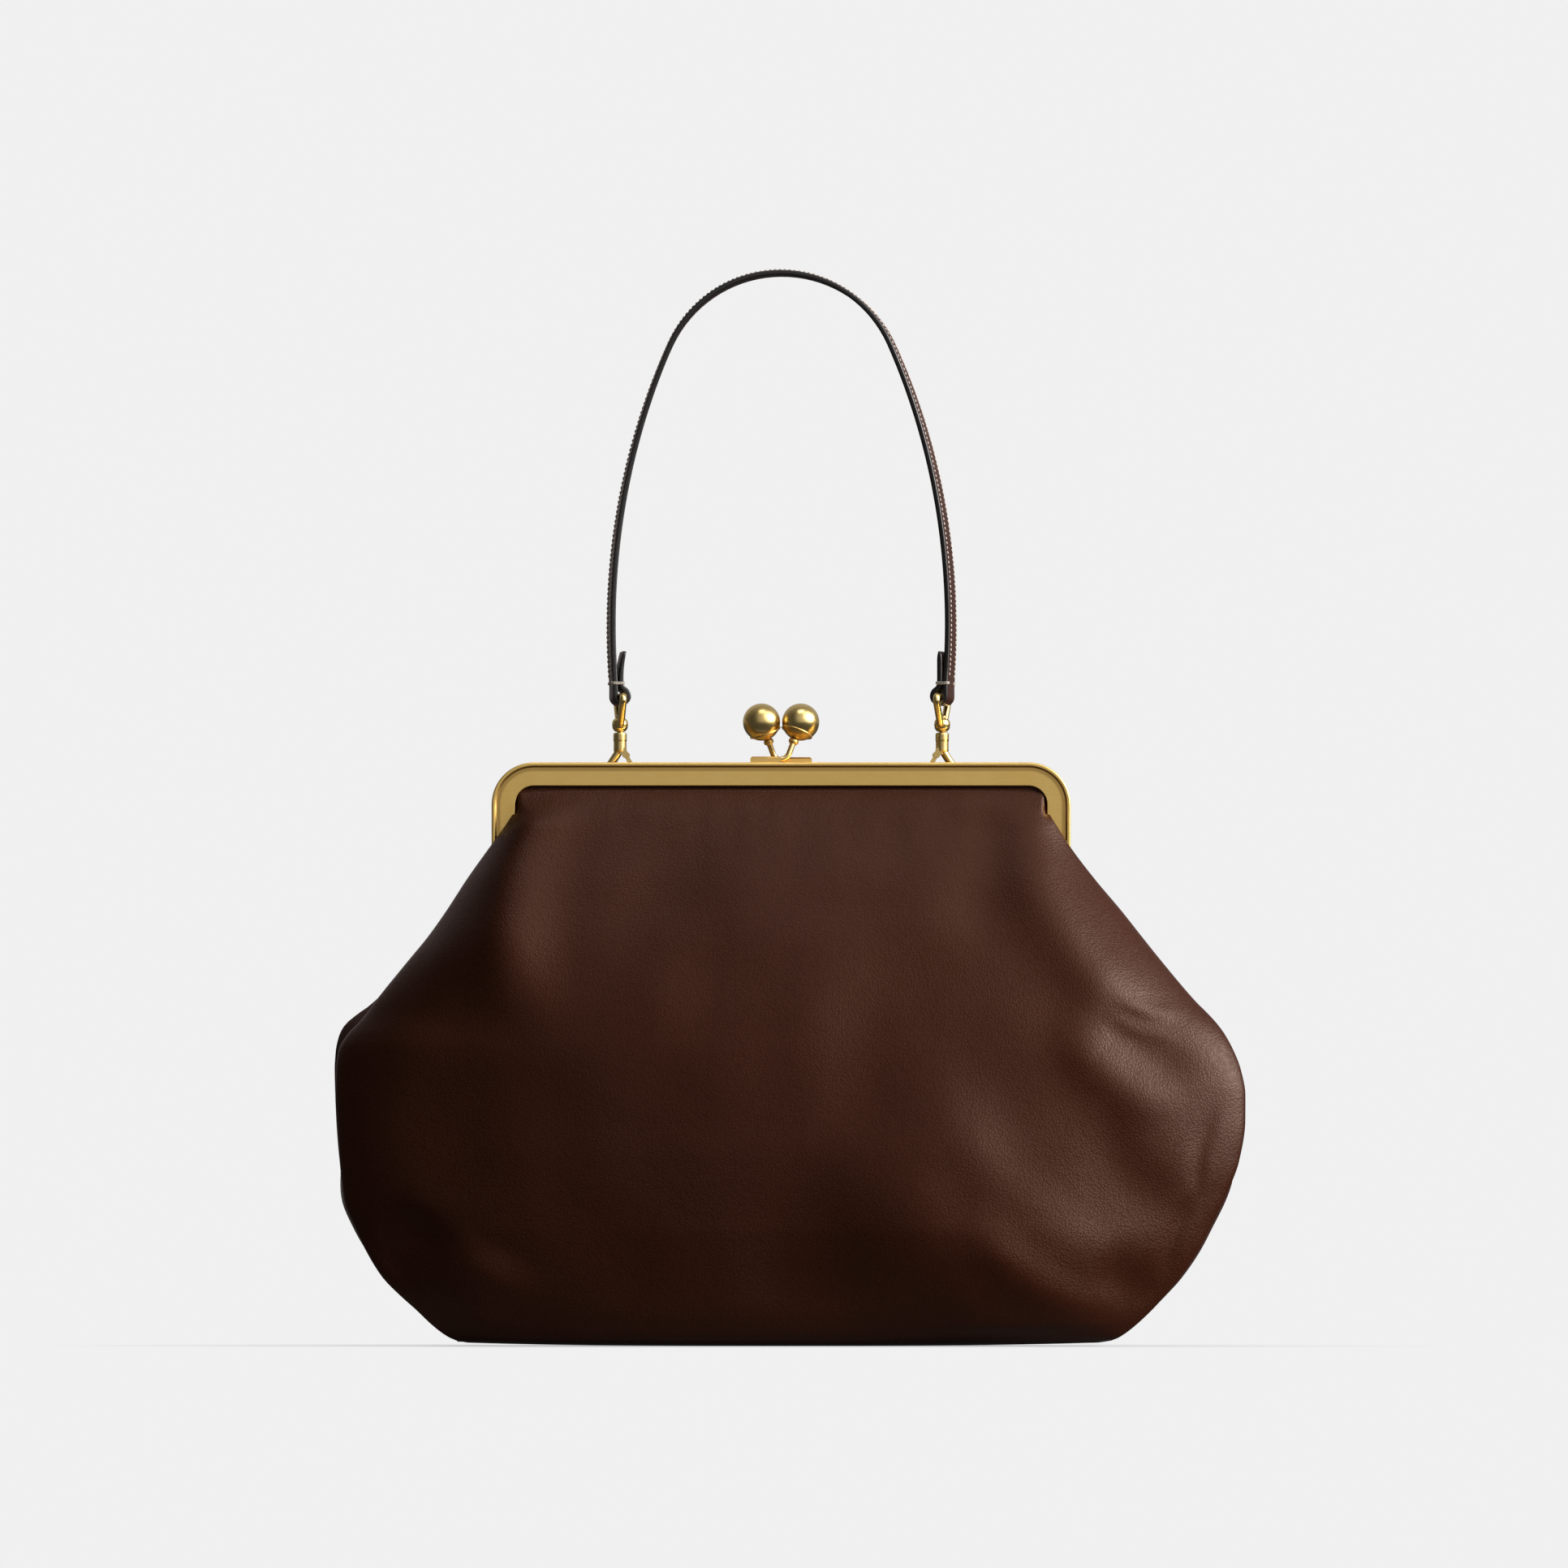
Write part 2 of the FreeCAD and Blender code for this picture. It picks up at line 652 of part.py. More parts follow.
def hook_body(label, side):
    body = body_named(label)
    wire = size("claw_wire_radius")
    sweep = size("claw_inside_radius") + wire
    throat = size("claw_throat")
    barrel_radius = size("barrel_radius")
    barrel_length = size("barrel_length")
    waist = barrel_radius * 0.95
    barrel_outline = [
        (ZERO, ZERO),
        (waist, ZERO),
        (waist, barrel_length * 0.55),
        (barrel_radius, barrel_length * 0.62),
        (barrel_radius, barrel_length),
        (ZERO, barrel_length),
    ]
    barrel_rounds = [None, wire * 0.5, wire * 0.4, wire * 0.4, wire * 0.5, None]
    barrel = sketch_on(body, "barrel", "XZ_Plane")
    rounded_path(barrel, barrel_outline, barrel_rounds, closed=True)
    doc.recompute()
    revolve(body, barrel)

    start = wire * 1.5
    profile = sketch_on(body, "claw_wire", "XY_Plane", start)
    circle(profile, (ZERO, ZERO), wire)
    claw = sketch_on(body, "claw_path", "XZ_Plane")
    corners = [
        (ZERO, start),
        (ZERO, start * 0.4),
        (sweep, -throat * 0.85),
        (sweep, -throat - sweep),
        (-sweep, -throat - sweep),
        (-sweep, -throat + size("claw_tip_rise")),
    ]
    bottom = sweep * 0.96
    rounded_path(claw, corners, [None, wire * 1.4, wire * 1.9, bottom, bottom, None])
    doc.recompute()
    pipe(body, profile, claw)

    pivot = (-size("gate_pivot_inset"), -size("gate_pivot_drop"))
    ear_inner = size("gate_thickness") / 2 + size("gate_side_gap")
    ear_radius = size("ear_radius")
    for face in (-1, 1):
        begin = ear_inner if face > 0 else -ear_inner
        ear = sketch_on(body, "ear", "XZ_Plane", -begin)
        circle(ear, pivot, ear_radius)
        pad(body, ear, size("ear_thickness"), reverse=face > 0)
        web = sketch_on(body, "ear_web", "XZ_Plane", -begin)
        rectangle(web, (pivot[0] - ear_radius * 0.4, pivot[1]), (ZERO, size("slot_height")))
        pad(body, web, size("ear_thickness"), reverse=face > 0)
    slot = sketch_on(body, "gate_slot", "XZ_Plane")
    slot_low = (-size("barrel_radius") - OVERRUN * 2, -throat * 0.5)
    slot_high = (-size("gate_pin_radius"), size("slot_height"))
    rectangle(slot, slot_low, slot_high)
    pocket(body, slot, ear_inner * 2)
    pin_hole = sketch_on(body, "pin_hole", "XZ_Plane")
    circle(pin_hole, pivot, size("gate_pin_radius"))
    pocket(body, pin_hole, size("barrel_radius") * 4)
    post_hole = sketch_on(body, "post_hole", "XY_Plane", size("barrel_length"))
    circle(post_hole, (ZERO, ZERO), size("post_radius"))
    pocket(body, post_hole, size("post_depth"), both_ways=False)
    body.Placement = hook_placement(side)


def swivel_post(label, side):
    """The headed pin that is fixed in the barrel and turns in the eye's boss."""
    body = body_named(label)
    foot = size("barrel_length") - size("post_depth")
    boss_mid = size("barrel_length") + size("boss_gap") + size("boss_radius") * 0.9
    head = boss_mid + size("boss_radius") * 0.75 + size("boss_gap")
    outline = [
        (ZERO, foot),
        (size("post_radius"), foot),
        (size("post_radius"), head),
        (size("post_head_radius"), head),
        (size("post_head_radius"), head + size("post_head_height") * 0.6),
        (size("post_head_radius") * 0.6, head + size("post_head_height")),
        (ZERO, head + size("post_head_height")),
    ]
    sketch = sketch_on(body, "half_section", "XZ_Plane")
    polygon(sketch, outline)
    doc.recompute()
    revolve(body, sketch)
    body.Placement = hook_placement(side)


def gate_tip():
    """The gate's lower end, just above the claw's tip."""
    sweep = size("claw_inside_radius") + size("claw_wire_radius")
    return (-sweep, -size("claw_throat") + size("claw_tip_rise") + size("gate_gap"))


def hook_gate(label, side):
    """The thumb lever that closes the claw, pivoted between the ears."""
    body = body_named(label)
    pivot = (-size("gate_pivot_inset"), -size("gate_pivot_drop"))
    tip = gate_tip()
    half = size("gate_width") / 2
    blade = sketch_on(body, "blade", "XZ_Plane")
    outline = [
        (pivot[0] - half * 0.7, pivot[1] + half * 0.4),
        (tip[0] - half * 0.7, tip[1] + half * 1.25),
        (tip[0] + half * 0.9, tip[1]),
        (pivot[0] + half * 0.7, pivot[1] - half * 0.4),
    ]
    polygon(blade, outline)
    pad(body, blade, size("gate_thickness") * 0.7, both_ways=True)
    hub = sketch_on(body, "hub", "XZ_Plane")
    circle(hub, pivot, size("gate_width") / 2)
    pad(body, hub, size("gate_thickness"), both_ways=True)
    thumb = sketch_on(body, "thumb", "XZ_Plane")
    circle(thumb, (pivot[0] - size("thumb_radius") * 0.6, pivot[1] - half * 0.4), size("thumb_radius"))
    pad(body, thumb, size("gate_thickness"), both_ways=True)
    bore = sketch_on(body, "pin_bore", "XZ_Plane")
    circle(bore, pivot, size("gate_pin_radius") + size("running_clearance"))
    pocket(body, bore, size("gate_thickness") * 2)
    body.Placement = hook_placement(side)


def gate_pin(label, side):
    body = body_named(label)
    pivot = (-size("gate_pivot_inset"), -size("gate_pivot_drop"))
    length = size("gate_thickness") + (size("gate_side_gap") + size("ear_thickness")) * 2
    sketch = sketch_on(body, "section", "XZ_Plane")
    circle(sketch, pivot, size("gate_pin_radius"))
    pad(body, sketch, length, both_ways=True)
    body.Placement = hook_placement(side)


def gate_spring(label, side):
    """The leaf that presses on the gate's hub from the roof of its slot."""
    body = body_named(label)
    pivot_x = -size("gate_pivot_inset")
    roof = size("slot_height")
    half = size("spring_length") / 2
    sketch = sketch_on(body, "leaf", "XZ_Plane")
    foot = size("gate_width") / 2 - size("gate_pivot_drop") + size("seat_gap")
    rectangle(sketch, (pivot_x + half - size("spring_thickness"), foot), (pivot_x + half, roof))
    pad(body, sketch, size("spring_width"), both_ways=True)
    body.Placement = hook_placement(side)


def swivel_eye(label, side):
    """The ring that holds the strap, on a round boss that turns on the swivel post."""
    body = body_named(label)
    wire = size("eye_wire_radius")
    profile = sketch_on(body, "wire", "XZ_Plane")
    circle(profile, (ZERO, size("eye_height")), wire)
    path = sketch_on(body, "ring", "YZ_Plane")
    half_bar = size("eye_bar") / 2
    half_foot = size("eye_foot") / 2
    crown = size("eye_height")
    bend = size("eye_corner")
    corners = [(-half_bar, crown), (half_bar, crown), (half_foot, ZERO), (-half_foot, ZERO)]
    rounded_path(path, corners, [bend, bend, bend, bend], closed=True)
    doc.recompute()
    pipe(body, profile, path)
    boss = sketch_on(body, "boss", "XZ_Plane")
    radius = size("boss_radius")
    outline = [
        (ZERO, -radius * 0.9),
        (radius * 0.62, -radius * 0.9),
        (radius * 0.93, -radius * 0.5),
        (radius, ZERO),
        (radius * 0.93, radius * 0.45),
        (radius * 0.7, radius * 0.75),
        (ZERO, radius * 0.75),
    ]
    shoulder = radius * 0.4
    rounded_path(boss, outline, [None] + [shoulder] * 5 + [None], closed=True)
    doc.recompute()
    revolve(body, boss)
    bore = sketch_on(body, "post_bore", "XY_Plane")
    circle(bore, (ZERO, ZERO), size("post_radius") + size("running_clearance"))
    pocket(body, bore, radius * 3)
    clear = sketch_on(body, "head_room", "XY_Plane", radius * 0.75)
    circle(clear, (ZERO, ZERO), size("post_head_radius") + size("boss_gap"))
    room = body.newObject("PartDesign::Pocket", "Pocket")
    room.Profile = clear
    room.Length = mm("eye_height") / 4
    room.setExpression("Length", (size("eye_height") / 4).text)
    room.Reversed = True
    doc.recompute()
    x = side * mm("hook_spacing") / 2
    turn = FreeCAD.Rotation(Vector(0, 0, 1), eye_turn(side))
    body.Placement = FreeCAD.Placement(Vector(x, handle_y.value, boss_centre.value), turn)


def eye_turn(side):
    """How far an eye, and the strap's end in it, is turned about Z, in degrees."""
    return mm("right_eye_turn") if side > 0 else mm("left_eye_turn")


# The strap: an arch of two large side arcs and a crown arc, folded round each eye's bar


def strap_arch():
    """The middle line of the arch in X and Z, from the left fold's top to the right one's."""
    span = mm("strap_half_span")
    crown_radius = mm("strap_crown_radius")
    rise = strap_crown_level.value - strap_side_level.value
    side_radius = (span**2 + (rise - crown_radius) ** 2 - crown_radius**2) / (2 * (span - crown_radius))
    side_centre = span - side_radius
    crown_centre = strap_side_level.value + rise - crown_radius
    low = -math.asin((strap_side_level.value - fold_top()) / side_radius)
    joint = math.atan2(rise - crown_radius, -side_centre)
    side_length = side_radius * (joint - low)
    crown_length = crown_radius * (math.pi / 2 - joint)
    points = []
    for i in range(STRAP_ARCH_STEPS // 2 + 1):
        run = (side_length + crown_length) * i / (STRAP_ARCH_STEPS // 2)
        if run <= side_length:
            angle = low + run / side_radius
            centre = Vector(side_centre, 0, strap_side_level.value)
            points.append(centre + Vector(math.cos(angle), 0, math.sin(angle)) * side_radius)
        else:
            angle = joint + (run - side_length) / crown_radius
            centre = Vector(0, 0, crown_centre)
            points.append(centre + Vector(math.cos(angle), 0, math.sin(angle)) * crown_radius)
    left = [Vector(-p.x, 0, p.z) for p in points]
    return left + points[-2::-1]


def fold_radius():
    """Radius of the strap's middle line round the eye's bar."""
    return mm("eye_wire_radius") + mm("strap_play") + mm("strap_thickness") / 2


def fold_top():
    """The level at which the strap leaves its fold, where the tail is sewn to it."""
    return eye_bar_height.value + fold_tail_rise()


def fold_tail_angle():
    """How far the tail leans in, on two equal bends, to lie against the strap."""
    shift = 2 * fold_radius() - mm("strap_thickness") - mm("strap_play")
    return math.acos(1 - shift / (2 * mm("strap_tail_bend")))


def fold_tail_rise():
    return 2 * mm("strap_tail_bend") * math.sin(fold_tail_angle())


def strap_fold():
    """The fold's middle line, from the sewn line down, round the bar and up the tail.

    Points are (outward, up) from the bar's centre, where outward is away from the strap's middle.
    """
    radius = fold_radius()
    bend = mm("strap_tail_bend")
    lean = fold_tail_angle()
    points = [(radius, fold_tail_rise() * share) for share in (0.75, 0.4)]
    for i in range(STRAP_FOLD_STEPS + 1):
        angle = math.pi * i / STRAP_FOLD_STEPS
        points.append((radius * math.cos(angle), -radius * math.sin(angle)))
    for i in range(1, STRAP_TAIL_STEPS + 1):
        angle = lean * i / STRAP_TAIL_STEPS
        points.append((-radius + bend * (1 - math.cos(angle)), bend * math.sin(angle)))
    shift = 2 * bend * (1 - math.cos(lean))
    for i in range(1, STRAP_TAIL_STEPS + 1):
        angle = lean * (1 - i / STRAP_TAIL_STEPS)
        points.append((-radius + shift - bend * (1 - math.cos(angle)), fold_tail_rise() - bend * math.sin(angle)))
    points.append((-radius + shift, fold_tail_rise() + mm("strap_tail")))
    return points


def strap_stations():
    """(point, width direction) along the whole strap, from the left tail's end to the right one's."""

    def fold(side):
        turn = FreeCAD.Rotation(Vector(0, 0, 1), eye_turn(side))
        bar = Vector(side * mm("hook_spacing") / 2, handle_y.value, eye_bar_height.value)
        across = turn.multVec(Vector(0, 1, 0))
        return [(bar + turn.multVec(Vector(side * out, 0, up)), across) for out, up in strap_fold()]

    left = fold(-1)[::-1]
    right = fold(1)
    begin, end = left[-1][0], right[0][0]
    arch = strap_arch()
    stations = []
    for i, point in enumerate(arch):
        share = i / (len(arch) - 1)
        ease = share * share * (3 - 2 * share)
        turn = FreeCAD.Rotation(Vector(0, 0, 1), eye_turn(-1) * (1 - ease) + eye_turn(1) * ease)
        foot = arch[0] * (1 - share) + arch[-1] * share
        target = begin * (1 - share) + end * share
        shift = Vector(target.x - foot.x, 0, 0) * abs(2 * share - 1) ** 2
        stations.append((point + shift + Vector(0, handle_y.value, 0), turn.multVec(Vector(0, 1, 0))))
    return left + stations[1:-1] + right


def strap(label):
    stations = strap_stations()
    wires = []
    half_width = mm("strap_width") / 2
    half_thickness = mm("strap_thickness") / 2
    last = len(stations) - 1
    for i, (point, across) in enumerate(stations):
        along = (stations[min(i + 1, last)][0] - stations[max(i - 1, 0)][0]).normalize()
        flat = (across - along * across.dot(along)).normalize()
        normal = along.cross(flat)
        signs = ((-1, -1), (1, -1), (1, 1), (-1, 1))
        corners = [point + flat * (half_width * a) + normal * (half_thickness * b) for a, b in signs]
        wires.append(Part.makePolygon(corners + corners[:1]))
    shape_named(label, Part.makeLoft(wires, True, True))


# The leather body and its lining, as walls between two insets of the same rings


def ring(index, inset):
    """(gusset x, half depth, seam x, seam y) of the body at one level, a distance inside its outer face."""
    half_width = mm("body_half_width") * WIDTH_SHARES[index]
    gusset_x = half_width * GUSSET_SHARES[index]
    half_depth = mm("body_half_depth") * DEPTH_SHARES[index]
    seam_x = half_width * SEAM_X_SHARES[index] - inset * SEAM_INSET_SHARE
    seam_y = half_depth * SEAM_Y_SHARES[index] - inset * SEAM_INSET_SHARE
    return gusset_x - inset, half_depth - inset, seam_x, seam_y


def level(index):
    return mm("hinge_height") * HEIGHT_SHARES[index]


def wall_wire(outer, inner):
    """A closed outline of two arcs, each given by its two ends and its middle, and two straight ends."""
    edges = [
        Part.Arc(*outer).toShape(),
        Part.LineSegment(outer[2], inner[2]).toShape(),
        Part.Arc(*inner[::-1]).toShape(),
        Part.LineSegment(inner[0], outer[0]).toShape(),
    ]
    return Part.Wire(edges)


def panel_arc(index, inset, z, facing):
    _, half_depth, seam_x, seam_y = ring(index, inset)
    return (
        Vector(-seam_x, facing * seam_y, z),
        Vector(0, facing * half_depth, z),
        Vector(seam_x, facing * seam_y, z),
    )


def gusset_arc(index, inset, z, side):
    gusset_x, _, seam_x, seam_y = ring(index, inset)
    return (Vector(side * seam_x, -seam_y, z), Vector(side * gusset_x, 0, z), Vector(side * seam_x, seam_y, z))


def wall(arc, sign, begin, end, floor):
    """The wall between two insets, from just above the base to the hinge."""
    wires = []
    for index in range(len(HEIGHT_SHARES)):
        z = max(level(index), floor)
        wires.append(wall_wire(arc(index, begin, z, sign), arc(index, end, z, sign)))
    return Part.makeLoft(wires, True, False)


def floor_plate(inset, low, high):
    """A flat plate with the outline of the body's foot."""
    arcs = [
        panel_arc(0, inset, low, -1),
        gusset_arc(0, inset, low, 1),
        panel_arc(0, inset, low, 1)[::-1],
        gusset_arc(0, inset, low, -1)[::-1],
    ]
    outline = Part.Wire([Part.Arc(*arc).toShape() for arc in arcs])
    return Part.Face(outline).extrude(Vector(0, 0, high - low))


def neck_wire(z, width_share, depth_share, edge_share, begin, end, facing):
    """One level of the panel between the hinge and the frame."""
    _, hinge_depth, hinge_seam, _ = ring(-1, 0)
    tuck_x = frame_half.value - mm("face_height") - mm("tuck_inset")
    tuck_y = half_centre.value + mm("leather") / 2 + mm("tuck_offset")
    leg_front = outer_face.value + mm("rim_rise") + mm("leather") * SEAM_INSET_SHARE + mm("leg_cover_gap")
    half_width = tuck_x + (hinge_seam - tuck_x) * width_share - begin

    def arc(inset):
        edge = facing * (tuck_y + (leg_front - tuck_y) * edge_share - inset * SEAM_INSET_SHARE)
        middle = facing * (tuck_y + (hinge_depth - tuck_y) * depth_share - inset)
        return (Vector(-half_width, edge, z), Vector(0, middle, z), Vector(half_width, edge, z))

    return wall_wire(arc(begin), arc(end))


def neck_panel(label, front, begin, end):
    """Leather or lining above the hinge: it rises over the legs and ends inside the frame's channel."""
    facing = -1 if front else 1
    face_foot = top.value - mm("face_height")
    levels = [hinge.value + (face_foot - hinge.value) * share for share in NECK_RISE_SHARES]
    rows = list(zip(levels, NECK_WIDTH_SHARES, NECK_DEPTH_SHARES, NECK_EDGE_SHARES))
    rows.append((top.value - mm("top_edge_drop"), *rows[-1][1:]))
    wires = [neck_wire(*row, begin, end, facing) for row in rows]
    shape_named(label, Part.makeLoft(wires, True, True))


def build():
    leather = mm("leather")
    lining_begin = leather + mm("ply_gap")
    lining_end = lining_begin + mm("lining")
    panel_floor = leather + mm("seat_gap")
    board_top = panel_floor + mm("board_thickness")

    shape_named("front_panel", wall(panel_arc, -1, 0, leather, panel_floor))
    shape_named("rear_panel", wall(panel_arc, 1, 0, leather, panel_floor))
    shape_named("left_gusset", wall(gusset_arc, -1, 0, leather, panel_floor))
    shape_named("right_gusset", wall(gusset_arc, 1, 0, leather, panel_floor))
    shape_named("base_panel", floor_plate(0, 0, leather))
    shape_named("base_board", floor_plate(mm("board_inset"), panel_floor, board_top))
    lining_floor = board_top + mm("seat_gap")
    lining_walls = [
        wall(arc, sign, lining_begin, lining_end, lining_floor)
        for arc in (panel_arc, gusset_arc)
        for sign in (-1, 1)
    ]
    lining_walls.append(floor_plate(mm("board_inset"), lining_floor, lining_floor + mm("lining")))
    shape_named("lining_bag", Part.makeCompound(lining_walls))

    for front in (True, False):
        name = "front" if front else "rear"
        frame_channel(f"{name}_frame_channel", front)
        neck_panel(f"{name}_panel_top", front, 0, leather)
        neck_panel(f"{name}_lining_top", front, lining_begin, lining_end)
        channel_cord(f"{name}_channel_cord", front)
        clasp_bar(f"{name}_clasp_bar", front)
        knob_stalk(f"{name}_knob_stalk", front)
        knob_collar(f"{name}_knob_collar", front)
        knob_ball(f"{name}_knob_ball", front)
        knob_cup(f"{name}_knob_cup", front)
    for side in (-1, 1):
        name = "left" if side < 0 else "right"
        hinge_rivet(f"{name}_hinge_rivet", side)
        strap_loop(f"{name}_strap_loop", side)
        hook_body(f"{name}_hook_body", side)
        swivel_post(f"{name}_swivel_post", side)
        hook_gate(f"{name}_hook_gate", side)
        gate_pin(f"{name}_gate_pin", side)
        gate_spring(f"{name}_gate_spring", side)
        swivel_eye(f"{name}_swivel_eye", side)
    strap("strap")


def check_and_write():
    doc.recompute()
    for item in doc.Objects:
        if "Invalid" in item.State or "Error" in item.State:
            raise RuntimeError(f"{item.Label} failed: {item.State}")
    os.makedirs("parts", exist_ok=True)
    for item in bodies:
        shape = item.Shape
        if shape.isNull() or not shape.isValid() or not shape.Solids:
            raise RuntimeError(f"{item.Label} has no valid solid")
        shape.exportStep(f"parts/{item.Label}.step")
        print(f"{item.Label}: {len(shape.Solids)} solid, {shape.Volume:.1f} mm3")


build()
check_and_write()
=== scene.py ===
"""Dresses the kiss lock frame purse: leather body and lining, sewn strap, antique brass, plain studio.

Lengths in the tables are millimetres in the part's own frame and become metres when a mesh is made.
"""

import math

import bpy
import numpy as np
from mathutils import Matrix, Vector, noise


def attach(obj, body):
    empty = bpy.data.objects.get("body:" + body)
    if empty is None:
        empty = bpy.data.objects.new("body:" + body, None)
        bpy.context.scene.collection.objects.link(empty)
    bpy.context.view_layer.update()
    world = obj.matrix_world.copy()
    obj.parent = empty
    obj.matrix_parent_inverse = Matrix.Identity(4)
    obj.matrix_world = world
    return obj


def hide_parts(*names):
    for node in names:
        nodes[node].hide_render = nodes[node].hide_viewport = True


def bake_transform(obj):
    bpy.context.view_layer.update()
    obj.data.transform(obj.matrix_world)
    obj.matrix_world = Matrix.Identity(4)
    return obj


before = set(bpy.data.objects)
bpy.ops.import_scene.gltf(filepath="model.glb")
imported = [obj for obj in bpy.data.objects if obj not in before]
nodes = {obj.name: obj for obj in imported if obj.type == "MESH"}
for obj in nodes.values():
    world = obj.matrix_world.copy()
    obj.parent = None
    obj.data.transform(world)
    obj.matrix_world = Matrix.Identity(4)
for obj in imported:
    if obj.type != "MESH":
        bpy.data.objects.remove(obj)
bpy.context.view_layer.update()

MM = 0.001

# The leather body's outline, level by level, as the photograph shows it
BODY_LEVELS = [
    0, 1.2, 3.2, 7, 13, 19, 26, 36, 45, 55, 70, 85, 95, 105, 112, 118, 122, 126, 130, 145, 155,
    165, 177, 189, 197, 200, 203, 206, 209, 212, 217,
]
LEFT_EDGE = [
    119, 123.3, 126.9, 131.6, 137.5, 143.8, 150.3, 156.5, 160.9, 164.9, 166.8, 168, 168.6,
    168.4, 167.4, 164, 160.2, 156.8, 154, 142.1, 134, 127, 119.3, 110.8, 105, 103, 101.7, 102,
    102.2, 102.2, 102,
]
REAR_LEFT_EDGE = [
    119, 123.3, 126.9, 131.6, 137.5, 143.8, 150.3, 156.9, 161.9, 165.9, 168.7, 169.9, 170.3,
    170.5, 170.1, 168.8, 166.7, 162.2, 156.6, 142.1, 134, 127, 119.3, 110.8, 105, 103, 101.7,
    102, 102.2, 102.2, 102,
]
RIGHT_EDGE = [
    120.5, 125.5, 129.1, 133.8, 139.8, 145, 150.9, 157.5, 162.1, 167.1, 173.1, 175.5, 175.6,
    173.8, 171.1, 167.9, 165, 161.4, 157.4, 144.8, 136.9, 129.1, 119.1, 110, 104.9, 103.1,
    101.7, 102, 102.2, 102.2, 102,
]
# The body's depth from its middle plane to the middle of a panel and to a seam, which is a guess
MIDDLE_DEPTH = [
    44, 48.5, 51, 52.6, 54.2, 55.2, 56.2, 57.4, 58, 58, 57.6, 56, 54.6, 52.8, 51.2, 49.5, 48.3,
    47, 45.6, 39.8, 35.8, 31.4, 26, 19.6, 15, 13.3, 11.5, 9.5, 7.1, 4.8, 4.6,
]
SEAM_DEPTH = [
    36, 38, 38.6, 38.4, 37.6, 36.8, 35.8, 34.4, 33, 31.4, 29, 26.6, 25, 23.4, 22.2, 21, 20.2,
    19.4, 18.6, 15.4, 13.2, 11.2, 9.5, 8.7, 8.5, 8.2, 7.6, 6.6, 5.4, 4.6, 4.5,
]
# How far the middle of a gusset stands inside the seams, and so folds in
GUSSET_LEVELS = [0, 15, 55, 80, 105, 128, 150, 170, 178, 185]
GUSSET_FOLD = [0, -1, -2, 3, 8, 13, 14, 6, 2.4, 0.6]
GUSSET_SEAM_INSET = 0.3
GUSSET_INSET = 0.4
GUSSET_TOP = 185.0
GUSSET_LINING_TOP = 174.0
GUSSET_FOLD_POWER = 1.5
GUSSET_REACH = 40.0
GUSSET_WAVES = 0.8
GUSSET_EDGE_POWER = 4
GUSSET_SEED = 11.0

LEATHER = 1.4
# How far the base's two ends stand above its middle, and the level where that has faded
BASE_SAG = 1.2
SAG_POWER = 3
SAG_FADE = 25.0
BASE_GAP = 0.1
BASE_INSET = 0.6
BASE_LINING_LEVEL = 4.9
BASE_LINING_INSET = 3.4
LINING = 0.5
LINING_INSET = 2.0
SEAM_INSET_SHARE = 0.7
# An inner layer starts its inset above the base, and joins the outer one's levels here
INSET_FADE = 30.0
LEAST_HEIGHT = 0.2
# The lining of a panel ends this many insets short of the seam, clear of the folded gusset
LINING_SIDE_SHARE = 2.2
# The powers that round a panel off from its middle to its seams
ROUNDING = 2.3
NECK_ROUNDING = 2.4
SQUARENESS = 0.72
FRAME_FOOT = 211.0
FRAME_TOP = 221.5
FRAME_CORNER = 16.0
FRAME_HALF_WIDTH = 110.0
FRAME_INSIDE = 101.0
CHANNEL_DEPTH = 4.6
# A panel's rows lie closer together below the foot level and above the head level
FOOT_LEVEL = 8.0
FOOT_ROWS = 9
HEAD_LEVEL = 194.0
HEAD_ROWS = 17
CHANNEL_LEVEL = 217.0
# Rows and columns of each sheet's points
PANEL_GRID = (130, 160)
PANEL_LINING_GRID = (80, 90)
GUSSET_GRID = (90, 40)
GUSSET_LINING_GRID = (80, 40)
BASE_GRID = (30, 90)
# The power that brings a panel's columns closer together at its seams
SEAM_CROWDING = 1.35
# Levels over which the neck's rounding comes, the folds go, and the hide tucks into the channel's ends
NECK_COMES = (90, 175)
FOLDS_GO = (196, 210)
TUCK_COMES = (200, 203)
TUCK_WIDTH = 1.8
# The powers that fade folds and waves out at the seams
FOLD_EDGE_POWER = 14
WAVE_EDGE_POWER = 8
# A fold's bow as a share of its length, and the shares over which it comes and goes
FOLD_BOW = 0.08
FOLD_COMES = (-0.12, 0.3)
FOLD_GOES = (0.7, 1.12)
# Slow waves all over the hide: their cells, height and levels, and the finer ones among them
WAVE_CELL = (55, 70)
WAVE_HEIGHT = 1.3
WAVES_COME = (2, 20)
WAVES_GO = (185, 208)
FINE_WAVE_SCALE = 2.3
FINE_WAVE_SHARE = 0.4
PANEL_SEED = 3.0
# Gathers under the frame
GATHER_CELL = (9, 120)
GATHER_HEIGHT = 0.25
GATHERS_COME = (165, 206)
GATHERS_GO = (208, FRAME_FOOT)
GATHER_SEED = 7

